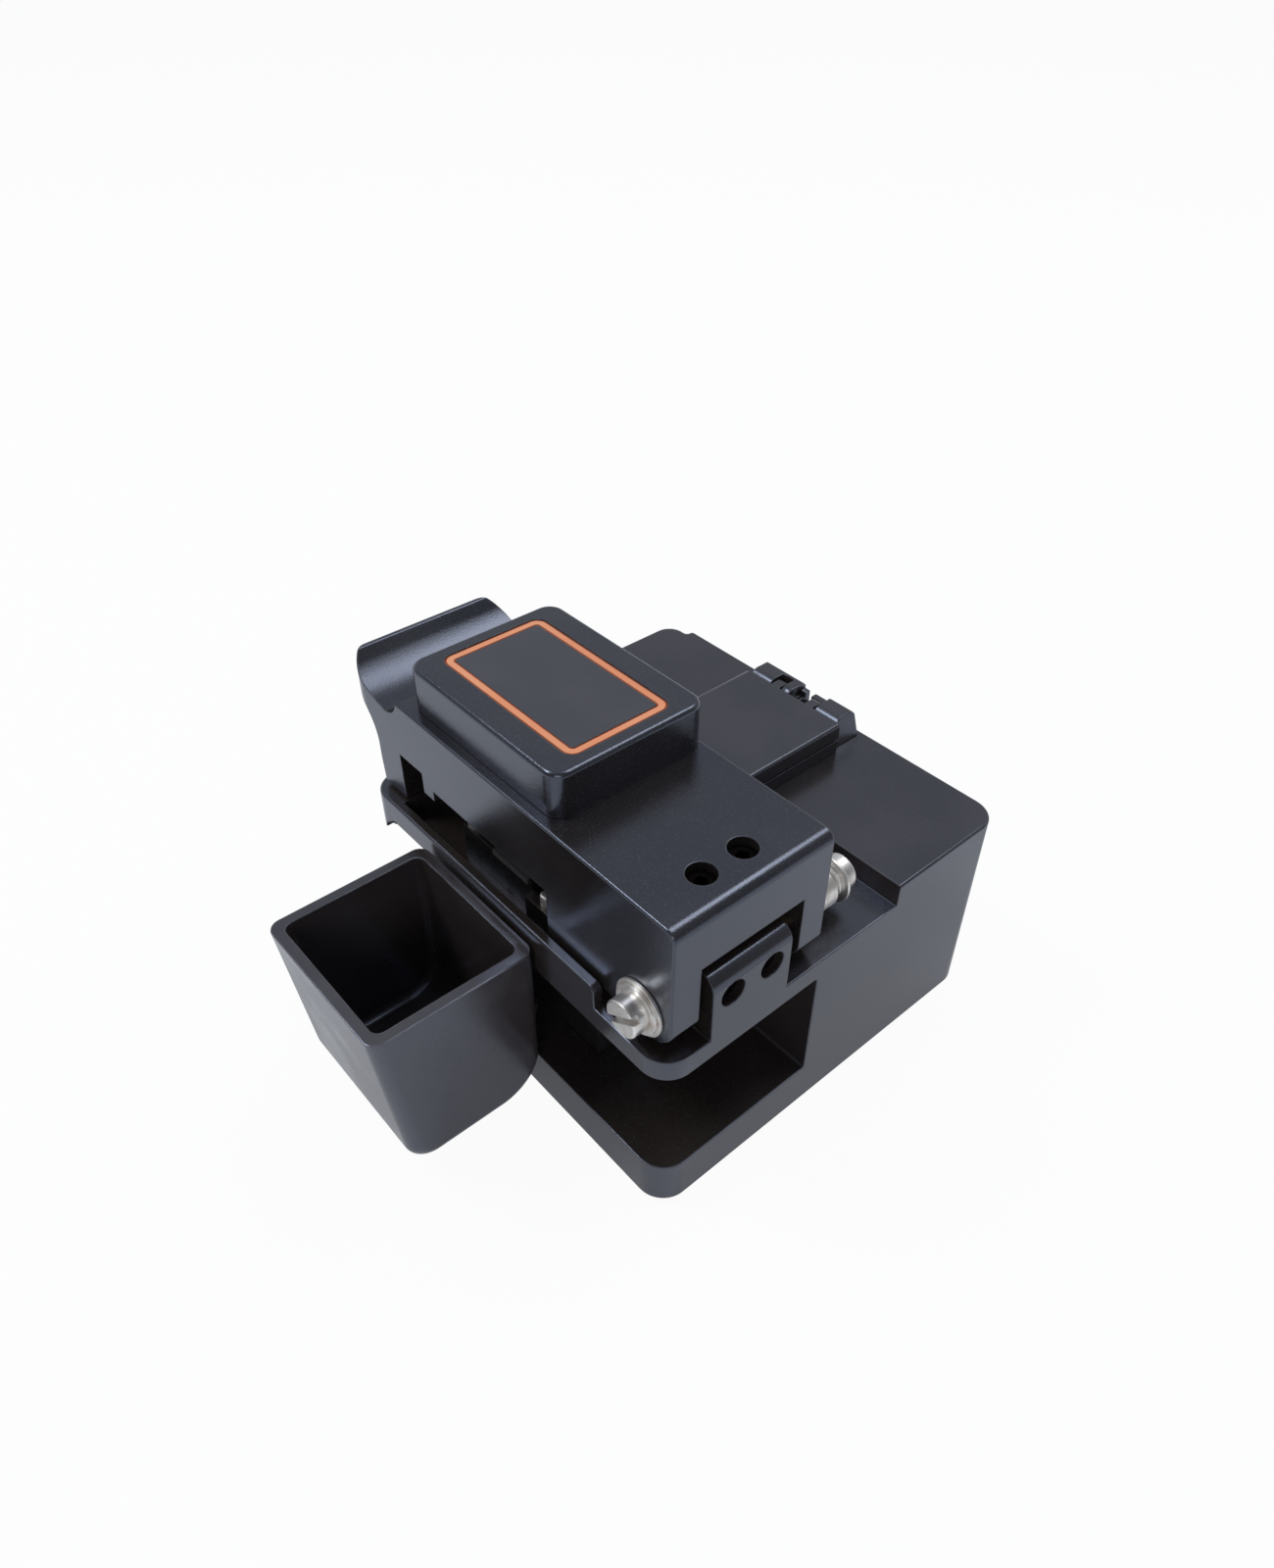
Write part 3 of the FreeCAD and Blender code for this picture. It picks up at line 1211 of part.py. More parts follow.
def base_magnet():
    x, y = bin_magnet_place()
    return [rod_z(x, y, MAGNET_RADIUS, base_top - MAGNET_THICKNESS, base_top)]


# ---- everything, one file per piece -------------------------------------------------------
def pieces():
    fixture_anvil_x, bin_anvil_x = anvil_centres()
    return {
        "body": [body()],
        "base_mat": base_mat(),
        "hinge_screws": hinge_screws(),
        "hinge_washers_inner": inner_washers(),
        "hinge_washers_outer": outer_washers(),
        "hinge_disc_springs": disc_springs(),
        "hinge_spacers": hinge_spacers(),
        "hinge_bushes": hinge_bushes(),
        "post_set_screws": post_set_screws(),
        "keeper": keeper(),
        "anvil_fixture_side": anvil(fixture_anvil_x),
        "anvil_bin_side": anvil(bin_anvil_x),
        "lower_pads": lower_pads(),
        "anvil_screws": anvil_screws(),
        "stop_pins": stop_pins(),
        "rail": rail(),
        "rail_screws": rail_screws(),
        "base_magnet": base_magnet(),
        "lid": [lid()],
        "lid_magnet": lid_magnet(),
        "lid_set_screws": lid_set_screws(),
        "housing": housing(),
        "housing_screws": housing_screws(),
        "label_frame": label_frame(),
        "label_plate": label_plate(),
        "clamp_beam": clamp_beam(),
        "upper_pads": upper_pads(),
        "guide_pins": guide_pins(),
        "clamp_springs": clamp_springs(),
        "break_anvil": break_anvil(),
        "break_clip": break_clip(),
        "break_spring": break_spring(),
        "carriage": carriage(),
        "push_pad": push_pad(),
        "blade_bracket": blade_bracket(),
        "bracket_screws": bracket_screws(),
        "blade_axle": axle(),
        "blade": blade(),
        "fixture_base": fixture_base(),
        "fixture_screws": fixture_screws(),
        "fixture_pins": fixture_pins(),
        "fixture_cover": fixture_cover(),
        "scrap_bin": scrap_bin(),
        "tongue_magnet": tongue_magnet(),
    }


def main():
    os.makedirs("parts", exist_ok=True)
    for name, solids in pieces().items():
        shape = solids[0] if len(solids) == 1 else Part.makeCompound(solids)
        assert shape.isValid(), name
        shape.exportStep("parts/" + name + ".step")


main()
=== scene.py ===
import json
import math

import bmesh
import bpy
from mathutils import Matrix, Vector


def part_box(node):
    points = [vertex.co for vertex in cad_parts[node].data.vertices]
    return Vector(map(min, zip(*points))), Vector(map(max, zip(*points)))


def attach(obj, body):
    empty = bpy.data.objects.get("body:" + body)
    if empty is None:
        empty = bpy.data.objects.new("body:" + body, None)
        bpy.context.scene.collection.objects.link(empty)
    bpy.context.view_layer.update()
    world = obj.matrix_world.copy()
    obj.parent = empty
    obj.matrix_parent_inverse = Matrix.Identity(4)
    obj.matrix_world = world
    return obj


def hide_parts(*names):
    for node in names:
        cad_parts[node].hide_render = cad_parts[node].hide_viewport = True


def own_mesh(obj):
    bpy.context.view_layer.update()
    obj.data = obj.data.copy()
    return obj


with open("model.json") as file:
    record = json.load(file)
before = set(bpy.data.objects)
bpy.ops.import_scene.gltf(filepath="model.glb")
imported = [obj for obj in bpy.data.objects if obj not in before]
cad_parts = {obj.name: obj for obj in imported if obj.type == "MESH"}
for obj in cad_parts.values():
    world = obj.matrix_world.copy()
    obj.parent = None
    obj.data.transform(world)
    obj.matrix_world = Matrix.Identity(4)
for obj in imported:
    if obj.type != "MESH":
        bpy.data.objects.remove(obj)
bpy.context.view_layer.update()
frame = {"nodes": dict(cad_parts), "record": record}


def rgb(red, green, blue):
    return (red, green, blue, 1.0)


MM = 0.001

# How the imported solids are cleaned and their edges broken; widths in millimetres.
MERGE_DISTANCE = 0.002 * MM
FLAT_ANGLE = math.radians(0.5)
SHARP_ANGLE = math.radians(30)
SHADED_SHARP_ANGLE = math.radians(34)
SLIVER = math.radians(20)
EDGE_WIDTHS = {
    "body": 0.20, "lid": 0.12, "housing": 0.15, "scrap_bin": 0.25, "fixture_base": 0.15,
    "fixture_cover": 0.08, "hinge_screws": 0.10, "hinge_washers_inner": 0.08, "hinge_washers_outer": 0.08,
    "carriage": 0.2, "push_pad": 0.08, "clamp_beam": 0.12, "blade_bracket": 0.12, "rail": 0.12,
    "keeper": 0.12, "anvil_fixture_side": 0.1, "anvil_bin_side": 0.1, "post_set_screws": 0.08,
    "lid_set_screws": 0.08, "hinge_disc_springs": 0.06,
}
LABEL_EDGE_WIDTH = 0.24

# Finishes.
COAT_IOR = 1.92
COAT_TINT = rgb(0.66, 0.76, 1.0)
EDGE_DULLNESS = 0.26
DULL_EDGE_SPREAD = 2.5
UNBROKEN = 0.05
LATHE_DEPTH = 0.003 * MM
GRIT_SIZE = 0.15 * MM
GRIT_DEPTH = 0.006 * MM

# Stage, lamps and camera; places in metres, the camera's in millimetres.
FLOOR_REACH = 4.0
FLOOR_SEEN_WHITE = 0.95
FLOOR_MIRRORED_WHITE = 0.30
TOWARD_BEYOND = (-0.69, -0.72, 0.0)
LAMP_TARGET = (0.0, 0.0, 0.02)
SENSOR_WIDTH = 36.0
FOCAL_SHARE = 1162.65 / 1600.0
CAMERA_PLACE = (84.029, 89.016, 134.871)
CAMERA_TURN = (138.9404, 50.4552, 0.2725)


# ---- shader building -----------------------------------------------------------------------
def link(tree, source, target):
    tree.links.new(source, target)


def node(tree, kind, **settings):
    made = tree.nodes.new(kind)
    for name, value in settings.items():
        if name == "inputs":
            for socket, content in value.items():
                if isinstance(content, bpy.types.NodeSocket):
                    link(tree, content, made.inputs[socket])
                else:
                    made.inputs[socket].default_value = content
        else:
            setattr(made, name, value)
    return made


def math_node(tree, operation, a, b=0.0, clamp=False):
    return node(tree, "ShaderNodeMath", operation=operation, use_clamp=clamp, inputs={0: a, 1: b}).outputs[0]


def noise(tree, vector, size, detail=2.0, roughness=0.5):
    """Noise whose blobs are about size metres across."""
    made = node(tree, "ShaderNodeTexNoise", inputs={
        "Vector": vector, "Scale": 1.0 / size, "Detail": detail, "Roughness": roughness})
    return made.outputs["Fac"]


def ramp(tree, value, low, high, out_low=0.0, out_high=1.0):
    made = node(tree, "ShaderNodeMapRange", interpolation_type="SMOOTHSTEP", inputs={
        "Value": value, "From Min": low, "From Max": high, "To Min": out_low, "To Max": out_high})
    return made.outputs[0]


def mix_colour(tree, factor, a, b):
    made = node(tree, "ShaderNodeMix", data_type="RGBA")
    for socket, content in ((made.inputs[0], factor), (made.inputs[6], a), (made.inputs[7], b)):
        if isinstance(content, bpy.types.NodeSocket):
            link(tree, content, socket)
        else:
            socket.default_value = content
    return made.outputs[2]


def new_group(name, inputs, outputs):
    tree = bpy.data.node_groups.new(name, "ShaderNodeTree")
    for label, kind, value in inputs:
        socket = tree.interface.new_socket(label, in_out="INPUT", socket_type=kind)
        if value is not None:
            socket.default_value = value
    for label, kind in outputs:
        tree.interface.new_socket(label, in_out="OUTPUT", socket_type=kind)
    return tree, tree.nodes.new("NodeGroupInput").outputs, tree.nodes.new("NodeGroupOutput").inputs


def make_worn_edges():
    """Mask of convex edges, broken up, where the black coat has rubbed thin."""
    tree, given, out = new_group(
        "worn_edges",
        [("Vector", "NodeSocketVector", None), ("Width", "NodeSocketFloat", 0.0002),
         ("Amount", "NodeSocketFloat", 0.6), ("Break Size", "NodeSocketFloat", 0.004)],
        [("Mask", "NodeSocketFloat")])
    rounded = node(tree, "ShaderNodeBevel", samples=6, inputs={"Radius": given["Width"]})
    flat = node(tree, "ShaderNodeNewGeometry")
    same = node(tree, "ShaderNodeVectorMath", operation="DOT_PRODUCT",
                inputs={0: rounded.outputs[0], 1: flat.outputs["Normal"]})
    turned = ramp(tree, same.outputs["Value"], 0.995, 0.93)
    convex = ramp(tree, flat.outputs["Pointiness"], 0.49, 0.52)
    scale = math_node(tree, "DIVIDE", 1.0, given["Break Size"])
    patches = node(tree, "ShaderNodeTexNoise", inputs={
        "Vector": given["Vector"], "Scale": scale, "Detail": 5.0, "Roughness": 0.7}).outputs["Fac"]
    broken = ramp(tree, patches, 0.36, 0.62)
    worn = math_node(tree, "MULTIPLY", math_node(tree, "MULTIPLY", turned, broken), convex)
    link(tree, math_node(tree, "MULTIPLY", worn, given["Amount"], clamp=True), out["Mask"])
    return tree


def make_coat_grain():
    """Fine blast grain under an anodised coat: a height and sparse bright flecks."""
    tree, given, out = new_group(
        "coat_grain",
        [("Vector", "NodeSocketVector", None), ("Grain Size", "NodeSocketFloat", 0.0003),
         ("Fleck Share", "NodeSocketFloat", 0.1)],
        [("Height", "NodeSocketFloat"), ("Flecks", "NodeSocketFloat"), ("Clouds", "NodeSocketFloat")])
    scale = math_node(tree, "DIVIDE", 1.0, given["Grain Size"])
    fine = node(tree, "ShaderNodeTexNoise", inputs={
        "Vector": given["Vector"], "Scale": scale, "Detail": 3.0, "Roughness": 0.6}).outputs["Fac"]
    cells = node(tree, "ShaderNodeTexVoronoi", inputs={"Vector": given["Vector"], "Scale": scale})
    shade = node(tree, "ShaderNodeSeparateColor", inputs={0: cells.outputs["Color"]}).outputs[0]
    lowest = math_node(tree, "SUBTRACT", 1.0, given["Fleck Share"])
    chosen = math_node(tree, "GREATER_THAN", shade, lowest)
    dot = ramp(tree, cells.outputs["Distance"], 0.42, 0.18)
    clouds = noise(tree, given["Vector"], 0.018, 3.0)
    link(tree, fine, out["Height"])
    link(tree, math_node(tree, "MULTIPLY", chosen, dot), out["Flecks"])
    link(tree, clouds, out["Clouds"])
    return tree


def make_turned_lines():
    """Rings left by a lathe about a line through a centre along X."""
    tree, given, out = new_group(
        "turned_lines",
        [("Vector", "NodeSocketVector", None), ("Centre", "NodeSocketVector", None),
         ("Pitch", "NodeSocketFloat", 0.0001)],
        [("Height", "NodeSocketFloat")])
    offset = node(tree, "ShaderNodeVectorMath", operation="SUBTRACT",
                  inputs={0: given["Vector"], 1: given["Centre"]})
    flat = node(tree, "ShaderNodeVectorMath", operation="MULTIPLY",
                inputs={0: offset.outputs[0], 1: (0.0, 1.0, 1.0)})
    length = node(tree, "ShaderNodeVectorMath", operation="LENGTH", inputs={0: flat.outputs[0]})
    turns = math_node(tree, "DIVIDE", length.outputs["Value"], given["Pitch"])
    wave = math_node(tree, "SINE", math_node(tree, "MULTIPLY", turns, 2 * math.pi))
    link(tree, wave, out["Height"])
    return tree


WORN_EDGES = make_worn_edges()
COAT_GRAIN = make_coat_grain()
TURNED_LINES = make_turned_lines()


def use_group(tree, group, **inputs):
    made = tree.nodes.new("ShaderNodeGroup")
    made.node_tree = group
    for name, content in inputs.items():
        socket = made.inputs[name.replace("_", " ")]
        if isinstance(content, bpy.types.NodeSocket):
            link(tree, content, socket)
        else:
            socket.default_value = content
    return made.outputs


def new_material(name, **fixed):
    """A material with its Principled shader, its tree and Object coordinates."""
    material = bpy.data.materials.new(name)
    material.use_nodes = True
    tree = material.node_tree
    shader = tree.nodes["Principled BSDF"]
    for socket, value in fixed.items():
        shader.inputs[socket.replace("_", " ")].default_value = value
    place = node(tree, "ShaderNodeTexCoord").outputs["Object"]
    return material, tree, shader, place


def add_bump(tree, shader, height, depth, strength=1.0):
    bump = node(tree, "ShaderNodeBump", inputs={"Height": height, "Distance": depth, "Strength": strength})
    link(tree, bump.outputs[0], shader.inputs["Normal"])


def black_coat(name, deep, pale, fleck, edge, roughness, grain_size, grain_depth, flecks, wear):
    """Black anodised aluminium: warm clouded blacks under a cool skin, blast grain and rubbed edges."""
    material, tree, shader, place = new_material(name, IOR=COAT_IOR, Specular_Tint=COAT_TINT)
    grain = use_group(tree, COAT_GRAIN, Vector=place, Grain_Size=grain_size, Fleck_Share=flecks)
    worn = use_group(tree, WORN_EDGES, Vector=place, Width=wear[0], Amount=wear[1])["Mask"]
    clouds = ramp(tree, grain["Clouds"], 0.35, 0.65)
    coat = mix_colour(tree, clouds, rgb(*deep), rgb(*pale))
    speckled = mix_colour(tree, grain["Flecks"], coat, rgb(*fleck))
    link(tree, mix_colour(tree, worn, speckled, rgb(*edge)), shader.inputs["Base Color"])
    rough = ramp(tree, grain["Clouds"], 0.3, 0.7, roughness - 0.03, roughness + 0.04)
    turned = use_group(tree, WORN_EDGES, Vector=place, Width=DULL_EDGE_SPREAD * wear[0], Amount=1.0,
                       Break_Size=UNBROKEN)["Mask"]
    link(tree, math_node(tree, "ADD", rough, math_node(tree, "MULTIPLY", turned, EDGE_DULLNESS)),
         shader.inputs["Roughness"])
    add_bump(tree, shader, grain["Height"], grain_depth)
    return material


def plated_metal(name, clean, tarnished, roughness, centre=None, pitch=0.00012):
    """Nickel or steel with tarnish in patches and, where turned, faint rings."""
    material, tree, shader, place = new_material(name, Metallic=1.0)
    patches = ramp(tree, noise(tree, place, 0.0025, 5.0, 0.65), 0.42, 0.68)
    link(tree, mix_colour(tree, patches, rgb(*clean), rgb(*tarnished)), shader.inputs["Base Color"])
    link(tree, ramp(tree, patches, 0.0, 1.0, roughness, roughness + 0.14), shader.inputs["Roughness"])
    if centre:
        lines = use_group(tree, TURNED_LINES, Vector=place, Centre=centre, Pitch=pitch)["Height"]
        add_bump(tree, shader, lines, LATHE_DEPTH)
    else:
        add_bump(tree, shader, noise(tree, place, GRIT_SIZE, 3.0), GRIT_DEPTH)
    return material


def moulded(name, deep, pale, roughness, grain_size, grain_depth, scuff=0.0, ior=1.5,
            tint=rgb(1.0, 1.0, 1.0)):
    """Moulded plastic or rubber with a spark-eroded grain and, if wanted, pale scuffs on its edges."""
    material, tree, shader, place = new_material(name, IOR=ior, Specular_Tint=tint)
    clouds = ramp(tree, noise(tree, place, 0.012, 4.0), 0.35, 0.65)
    colour = mix_colour(tree, clouds, rgb(*deep), rgb(*pale))
    if scuff:
        worn = use_group(tree, WORN_EDGES, Vector=place, Width=0.00035, Amount=scuff, Break_Size=0.002)["Mask"]
        colour = mix_colour(tree, worn, colour, rgb(0.16, 0.16, 0.17))
    link(tree, colour, shader.inputs["Base Color"])
    link(tree, ramp(tree, clouds, 0.0, 1.0, roughness - 0.03, roughness + 0.05), shader.inputs["Roughness"])
    add_bump(tree, shader, noise(tree, place, grain_size, 3.0, 0.6), grain_depth)
    return material


def make_materials():
    hinge = sum(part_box("hinge_bushes"), Vector()) / 2
    wheel = sum(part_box("blade"), Vector()) / 2
    return {
        "body_black": black_coat(
            "body_anodised", (0.025, 0.0195, 0.0170), (0.033, 0.0260, 0.0230), (0.05, 0.048, 0.05),
            (0.13, 0.12, 0.12), 0.21, 0.00025, 0.000006, 0.15, (0.00020, 0.5)),
        "lid_black": black_coat(
            "lid_anodised", (0.016, 0.0130, 0.0120), (0.023, 0.0190, 0.0175), (0.055, 0.055, 0.062),
            (0.13, 0.12, 0.12), 0.21, 0.00020, 0.000018, 0.30, (0.00022, 0.7)),
        "housing_black": black_coat(
            "housing_anodised", (0.018, 0.0155, 0.0150), (0.025, 0.0215, 0.0210), (0.055, 0.056, 0.064),
            (0.14, 0.14, 0.15), 0.21, 0.00022, 0.000020, 0.30, (0.00025, 0.5)),
        "fixture_black": black_coat(
            "fixture_anodised", (0.026, 0.0205, 0.0180), (0.036, 0.0285, 0.0250), (0.05, 0.048, 0.05),
            (0.07, 0.065, 0.065), 0.28, 0.00025, 0.000006, 0.12, (0.00018, 0.3)),
        "clamp_black": black_coat(
            "clamp_anodised", (0.018, 0.0150, 0.0140), (0.024, 0.0200, 0.0190), (0.05, 0.05, 0.055),
            (0.14, 0.14, 0.15), 0.30, 0.00025, 0.000008, 0.15, (0.00015, 0.4)),
        "carriage_black": black_coat(
            "carriage_anodised", (0.018, 0.0150, 0.0140), (0.024, 0.0200, 0.0190), (0.05, 0.05, 0.055),
            (0.14, 0.14, 0.15), 0.30, 0.00025, 0.000008, 0.15, (0.00018, 0.4)),
        "nickel": plated_metal(
            "bright_nickel", (0.86, 0.84, 0.81), (0.64, 0.59, 0.54), 0.38, tuple(hinge)),
        # Black set screws, darkened past blackened steel as painted shade in the holes they sit in.
        "hole_shade_black": plated_metal(
            "set_screw_painted_shade", (0.006, 0.005, 0.005), (0.010, 0.008, 0.007), 0.62),
        "spring_bright": plated_metal("spring_bright", (0.84, 0.82, 0.80), (0.64, 0.60, 0.56), 0.42),
        "steel": plated_metal("ground_steel", (0.52, 0.52, 0.52), (0.34, 0.33, 0.32), 0.28),
        "anvil_steel": plated_metal("anvil_steel", (0.075, 0.068, 0.064), (0.050, 0.044, 0.040), 0.38),
        "blackened_steel": plated_metal(
            "blackened_steel", (0.020, 0.016, 0.015), (0.032, 0.025, 0.021), 0.42),
        "brass": plated_metal(
            "turned_brass", (0.72, 0.54, 0.27), (0.46, 0.32, 0.15), 0.26, tuple(hinge)),
        "carbide": plated_metal("ground_carbide", (0.46, 0.46, 0.48), (0.36, 0.36, 0.37), 0.22,
                                tuple(wheel), 0.0002),
        "magnet": plated_metal("magnet_nickel", (0.66, 0.65, 0.63), (0.48, 0.46, 0.43), 0.18),
        "rubber_mat": moulded(
            "mat_rubber", (0.016, 0.016, 0.016), (0.026, 0.026, 0.026), 0.78, 0.0004, 0.00006),
        "pad_rubber": moulded(
            "pad_rubber", (0.022, 0.022, 0.024), (0.034, 0.034, 0.036), 0.7, 0.0003, 0.00004),
        "push_plastic": moulded("push_plastic", (0.014, 0.014, 0.016), (0.022, 0.022, 0.024), 0.5,
                                0.0003, 0.00002),
        "bin_plastic": moulded("bin_plastic", (0.044, 0.0360, 0.0350), (0.056, 0.0465, 0.0450), 0.20,
                               0.00035, 0.000006, scuff=0.7, ior=1.92, tint=COAT_TINT),
        "label_orange": moulded("label_orange", (0.86, 0.32, 0.155), (0.90, 0.38, 0.20), 0.42,
                                0.0003, 0.000006),
        # A darker copy of the orange for the ring's flanks: painted shade on its sides.
        "label_orange_painted_shade": moulded("label_orange_painted_shade", (0.34, 0.075, 0.018), (0.42, 0.10, 0.03), 0.5,
                                     0.0003, 0.000006),
        "label_dark": moulded("label_dark", (0.056, 0.057, 0.074), (0.064, 0.065, 0.082), 0.34,
                              0.0002, 0.000003),
    }


MATERIALS = make_materials()
SLOT_OF = {part["node"]: part["material_slot"] for part in frame["record"]["subparts"]}
BODY_OF = {name: body for body, names in frame["record"]["behaviour"]["bodies"].items() for name in names}


# The set screws take the near-black, painted shade in their holes.
LOOK_OF = {"hinge_disc_springs": "spring_bright", "lid_set_screws": "hole_shade_black",
           "post_set_screws": "hole_shade_black"}


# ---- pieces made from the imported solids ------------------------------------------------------
def merged_copy(name):
    """A joined copy of a node's mesh with its flat faces made whole."""
    shape = bmesh.new()
    shape.from_mesh(frame["nodes"][name].data)
    bmesh.ops.remove_doubles(shape, verts=shape.verts, dist=MERGE_DISTANCE)
    bmesh.ops.dissolve_limit(shape, angle_limit=FLAT_ANGLE, use_dissolve_boundaries=False,
                             verts=shape.verts, edges=shape.edges, delimit=set())
    return shape


def sharp_edges(shape):
    """Edges that turn sharply, but for those that meet another one in a sliver."""
    found = {edge for edge in shape.edges if edge.is_manifold and edge.calc_face_angle() > SHARP_ANGLE}
    slivers = set()
    for corner in shape.verts:
        fan = [edge for edge in corner.link_edges if edge in found]
        for index, one in enumerate(fan):
            for other in fan[index + 1:]:
                along = one.other_vert(corner).co - corner.co
                beside = other.other_vert(corner).co - corner.co
                if along.angle(beside) < SLIVER:
                    slivers.update((one, other))
    return list(found - slivers)


def break_edges(shape, width, segments=2):
    """Rounds every sharp edge a little, as tumbling and coating do."""
    bmesh.ops.bevel(shape, geom=sharp_edges(shape), offset=width, offset_type="OFFSET",
                    segments=segments, profile=0.5, affect="EDGES", clamp_overlap=False, material=-1,
                    loop_slide=True)


def place_piece(name, shape, materials, body, *replaced):
    for edge in shape.edges:
        edge.smooth = not (edge.is_manifold and edge.calc_face_angle() > SHADED_SHARP_ANGLE)
    for face in shape.faces:
        face.smooth = True
    data = bpy.data.meshes.new(name)
    shape.to_mesh(data)
    shape.free()
    for material in materials:
        data.materials.append(material)
    piece = bpy.data.objects.new(name, data)
    bpy.context.scene.collection.objects.link(piece)
    weighted = piece.modifiers.new("weighted_normals", "WEIGHTED_NORMAL")
    weighted.keep_sharp = True
    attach(piece, body)
    if replaced:
        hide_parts(*replaced)
    return piece


def finish_solid(name, width):
    """A node's own shape with broken edges and its finish."""
    shape = merged_copy(name)
    break_edges(shape, width)
    look = LOOK_OF.get(name, SLOT_OF[name])
    piece = place_piece(name + "_finished", shape, [MATERIALS[look]], BODY_OF[name], name)
    return piece


def coat_node(name):
    """A node shown as packed, with its finish."""
    solid = frame["nodes"][name]
    for place in solid.material_slots:
        place.link = "OBJECT"
        place.material = MATERIALS[SLOT_OF[name]]


def finish_label_frame():
    """The orange ring, with its flanks in a darker copy of the orange as painted shade."""
    shape = merged_copy("label_frame")
    break_edges(shape, LABEL_EDGE_WIDTH * MM, segments=1)
    shape.faces.ensure_lookup_table()
    for face in shape.faces:
        # Faces that do not face up take the darker orange, painted shade on the flanks.
        face.material_index = 0 if face.normal.z > 0.9 else 1
    materials = [MATERIALS["label_orange"], MATERIALS["label_orange_painted_shade"]]
    piece = place_piece("label_frame_finished", shape, materials, BODY_OF["label_frame"], "label_frame")


def finish_spring(name, joint, fixed_end):
    """A spring's merged copy, shown on its body in place of its node."""
    shape = bmesh.new()
    shape.from_mesh(frame["nodes"][name].data)
    bmesh.ops.remove_doubles(shape, verts=shape.verts, dist=MERGE_DISTANCE)
    piece = place_piece(name + "_coiled", shape, [MATERIALS[SLOT_OF[name]]], BODY_OF[name], name)
    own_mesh(piece)


SPRINGS = {spring["node"]: (joint, spring["fixed_end_z_m"])
           for joint in frame["record"]["behaviour"]["joints"]
           for spring in joint.get("deforming_nodes", [])}

for solid_name in frame["nodes"]:
    if solid_name == "label_frame":
        finish_label_frame()
    elif solid_name in SPRINGS:
        finish_spring(solid_name, *SPRINGS[solid_name])
    elif solid_name in EDGE_WIDTHS:
        finish_solid(solid_name, EDGE_WIDTHS[solid_name] * MM)
    else:
        coat_node(solid_name)


# ---- stage, lamps and camera -------------------------------------------------------------------
def make_floor():
    data = bpy.data.meshes.new("floor")
    shape = bmesh.new()
    bmesh.ops.create_grid(shape, x_segments=1, y_segments=1, size=FLOOR_REACH)
    shape.to_mesh(data)
    shape.free()
    floor = bpy.data.objects.new("floor", data)
    bpy.context.scene.collection.objects.link(floor)
    material = bpy.data.materials.new("white_sweep")
    material.use_nodes = True
    tree = material.node_tree
    tree.nodes.clear()
    rays = node(tree, "ShaderNodeLightPath")
    through = math_node(tree, "ADD", rays.outputs["Is Camera Ray"], rays.outputs["Is Transmission Ray"])
    mirrored = math_node(tree, "MULTIPLY", rays.outputs["Is Glossy Ray"], FLOOR_MIRRORED_WHITE)
    share = math_node(tree, "MAXIMUM", math_node(tree, "MULTIPLY", through, FLOOR_SEEN_WHITE), mirrored)
    paper = node(tree, "ShaderNodeBsdfDiffuse", inputs={"Color": rgb(0.84, 0.87, 0.92)})
    glow = node(tree, "ShaderNodeEmission", inputs={"Color": rgb(1.0, 1.0, 1.0), "Strength": 1.0})
    both = node(tree, "ShaderNodeMixShader", inputs={0: share, 1: paper.outputs[0], 2: glow.outputs[0]})
    out = node(tree, "ShaderNodeOutputMaterial")
    link(tree, both.outputs[0], out.inputs["Surface"])
    data.materials.append(material)
    return floor


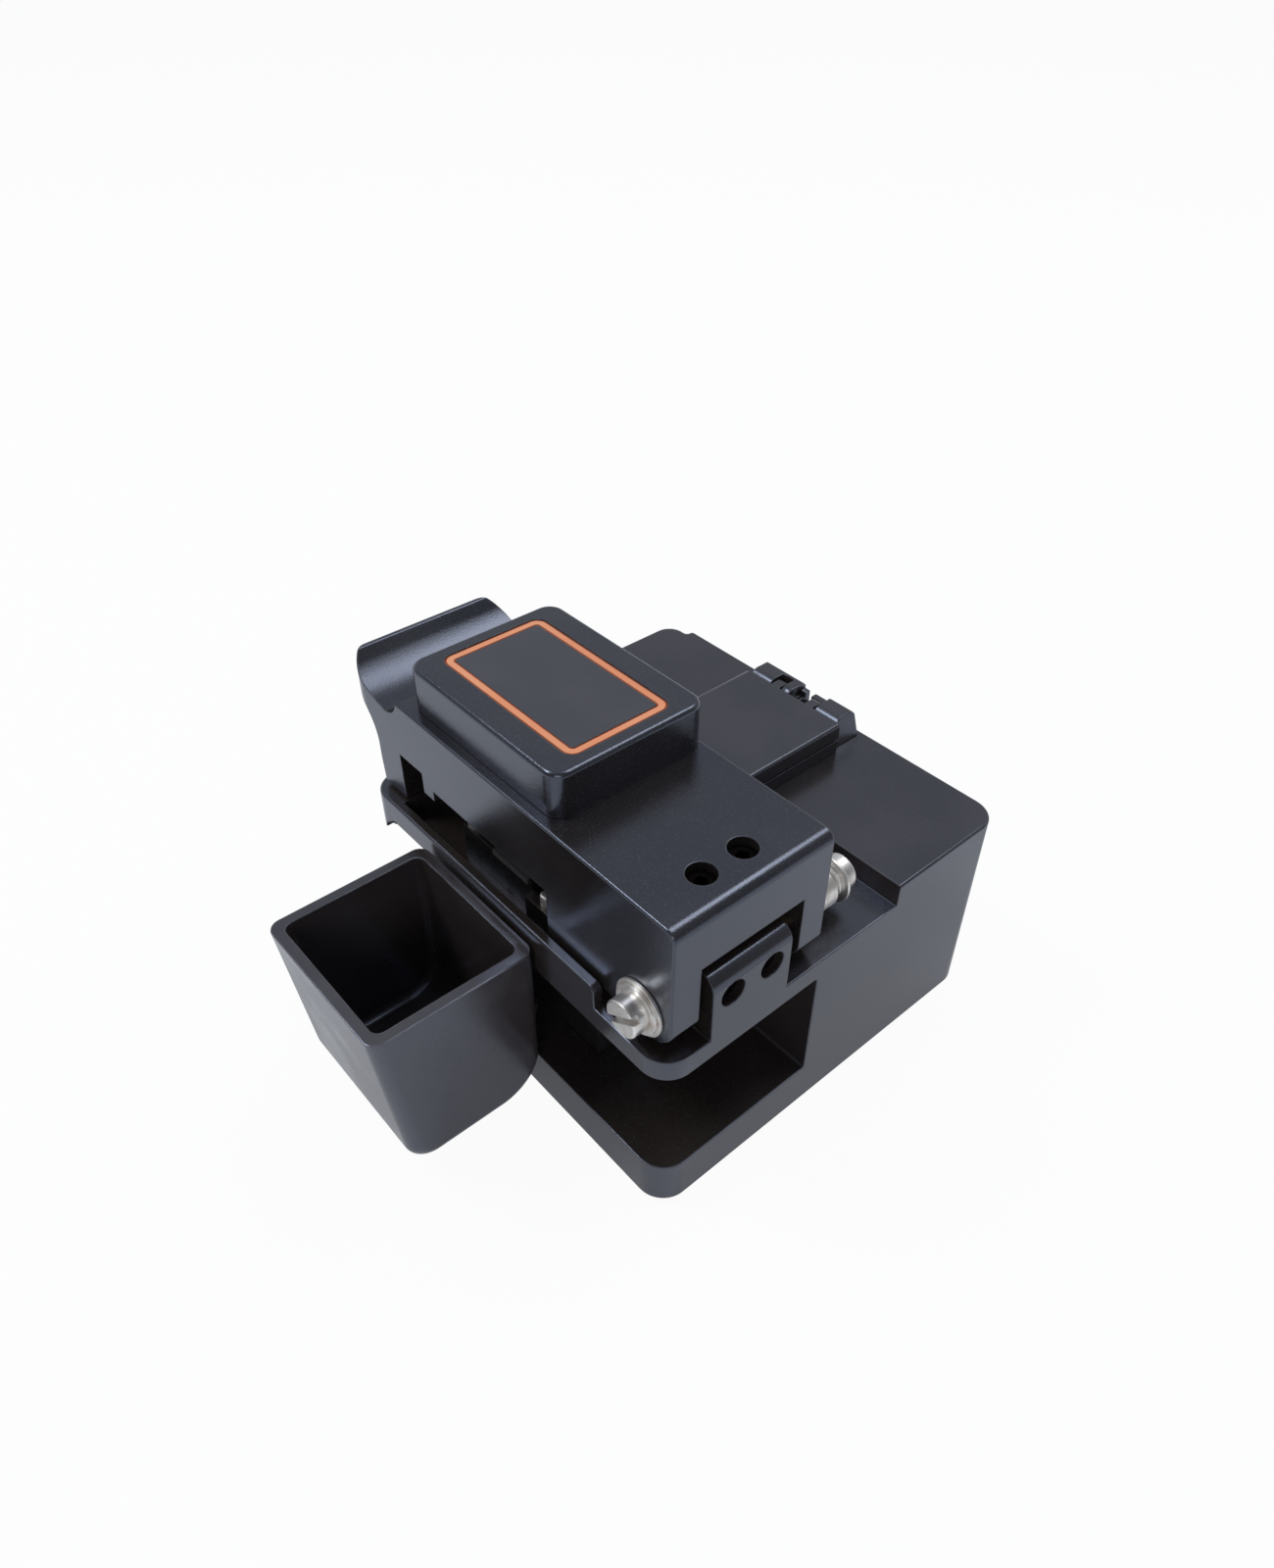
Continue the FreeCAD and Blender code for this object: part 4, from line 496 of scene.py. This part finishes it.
def make_world():
    """White to the camera; to the object a room that is bright beyond it and dim over the bench."""
    world = bpy.data.worlds.new("studio")
    bpy.context.scene.world = world
    world.use_nodes = True
    tree = world.node_tree
    tree.nodes.clear()
    rays = node(tree, "ShaderNodeLightPath")
    toward = node(tree, "ShaderNodeTexCoord").outputs["Generated"]
    up = node(tree, "ShaderNodeSeparateXYZ", inputs={0: toward}).outputs["Z"]
    beyond = node(tree, "ShaderNodeVectorMath", operation="DOT_PRODUCT",
                  inputs={0: toward, 1: TOWARD_BEYOND}).outputs["Value"]
    beyond = ramp(tree, beyond, -0.35, 0.55)
    wall = math_node(tree, "MULTIPLY", beyond, ramp(tree, up, 0.05, 0.45, 0.48, 0.30))
    level = math_node(tree, "ADD", wall, ramp(tree, up, 0.85, 1.0, 0.15, 0.36))
    room = node(tree, "ShaderNodeBackground", inputs={"Color": rgb(0.88, 0.93, 1.0), "Strength": level})
    white = node(tree, "ShaderNodeBackground", inputs={"Color": rgb(1.0, 1.0, 1.0), "Strength": 1.0})
    both = node(tree, "ShaderNodeMixShader", inputs={
        0: rays.outputs["Is Camera Ray"], 1: room.outputs[0], 2: white.outputs[0]})
    out = node(tree, "ShaderNodeOutputWorld")
    link(tree, both.outputs[0], out.inputs["Surface"])


def make_lamp(name, place, target, size, power, colour):
    data = bpy.data.lights.new(name, "AREA")
    data.shape = "DISK"
    data.size = size
    data.energy = power
    data.color = colour
    lamp = bpy.data.objects.new(name, data)
    bpy.context.scene.collection.objects.link(lamp)
    lamp.location = place
    lamp.rotation_mode = "QUATERNION"
    lamp.rotation_quaternion = (Vector(target) - Vector(place)).to_track_quat("-Z", "Y")
    return lamp


def make_camera():
    data = bpy.data.cameras.new("camera")
    data.sensor_width = SENSOR_WIDTH
    data.lens = SENSOR_WIDTH * FOCAL_SHARE
    data.clip_start = 0.005
    data.clip_end = 20.0
    camera = bpy.data.objects.new("camera", data)
    bpy.context.scene.collection.objects.link(camera)
    around, down, roll = (math.radians(degrees) for degrees in CAMERA_TURN)
    turn = Matrix.Rotation(around, 4, "Z") @ Matrix.Rotation(down, 4, "X") @ Matrix.Rotation(roll, 4, "Z")
    camera.matrix_world = Matrix.Translation(Vector(CAMERA_PLACE) * MM) @ turn
    bpy.context.scene.camera = camera


make_floor()
make_world()
make_lamp("key", (-0.42, 0.03, 0.82), LAMP_TARGET, 0.45, 2.0, (1.0, 0.98, 0.97))
make_lamp("rim", (0.36, -0.38, 0.74), LAMP_TARGET, 0.30, 2.6, (0.97, 0.98, 1.0))
make_lamp("front", (0.62, 0.62, 0.42), LAMP_TARGET, 0.5, 1.4, (0.96, 0.97, 1.0))
make_camera()

bpy.context.scene.view_settings.view_transform = "Standard"
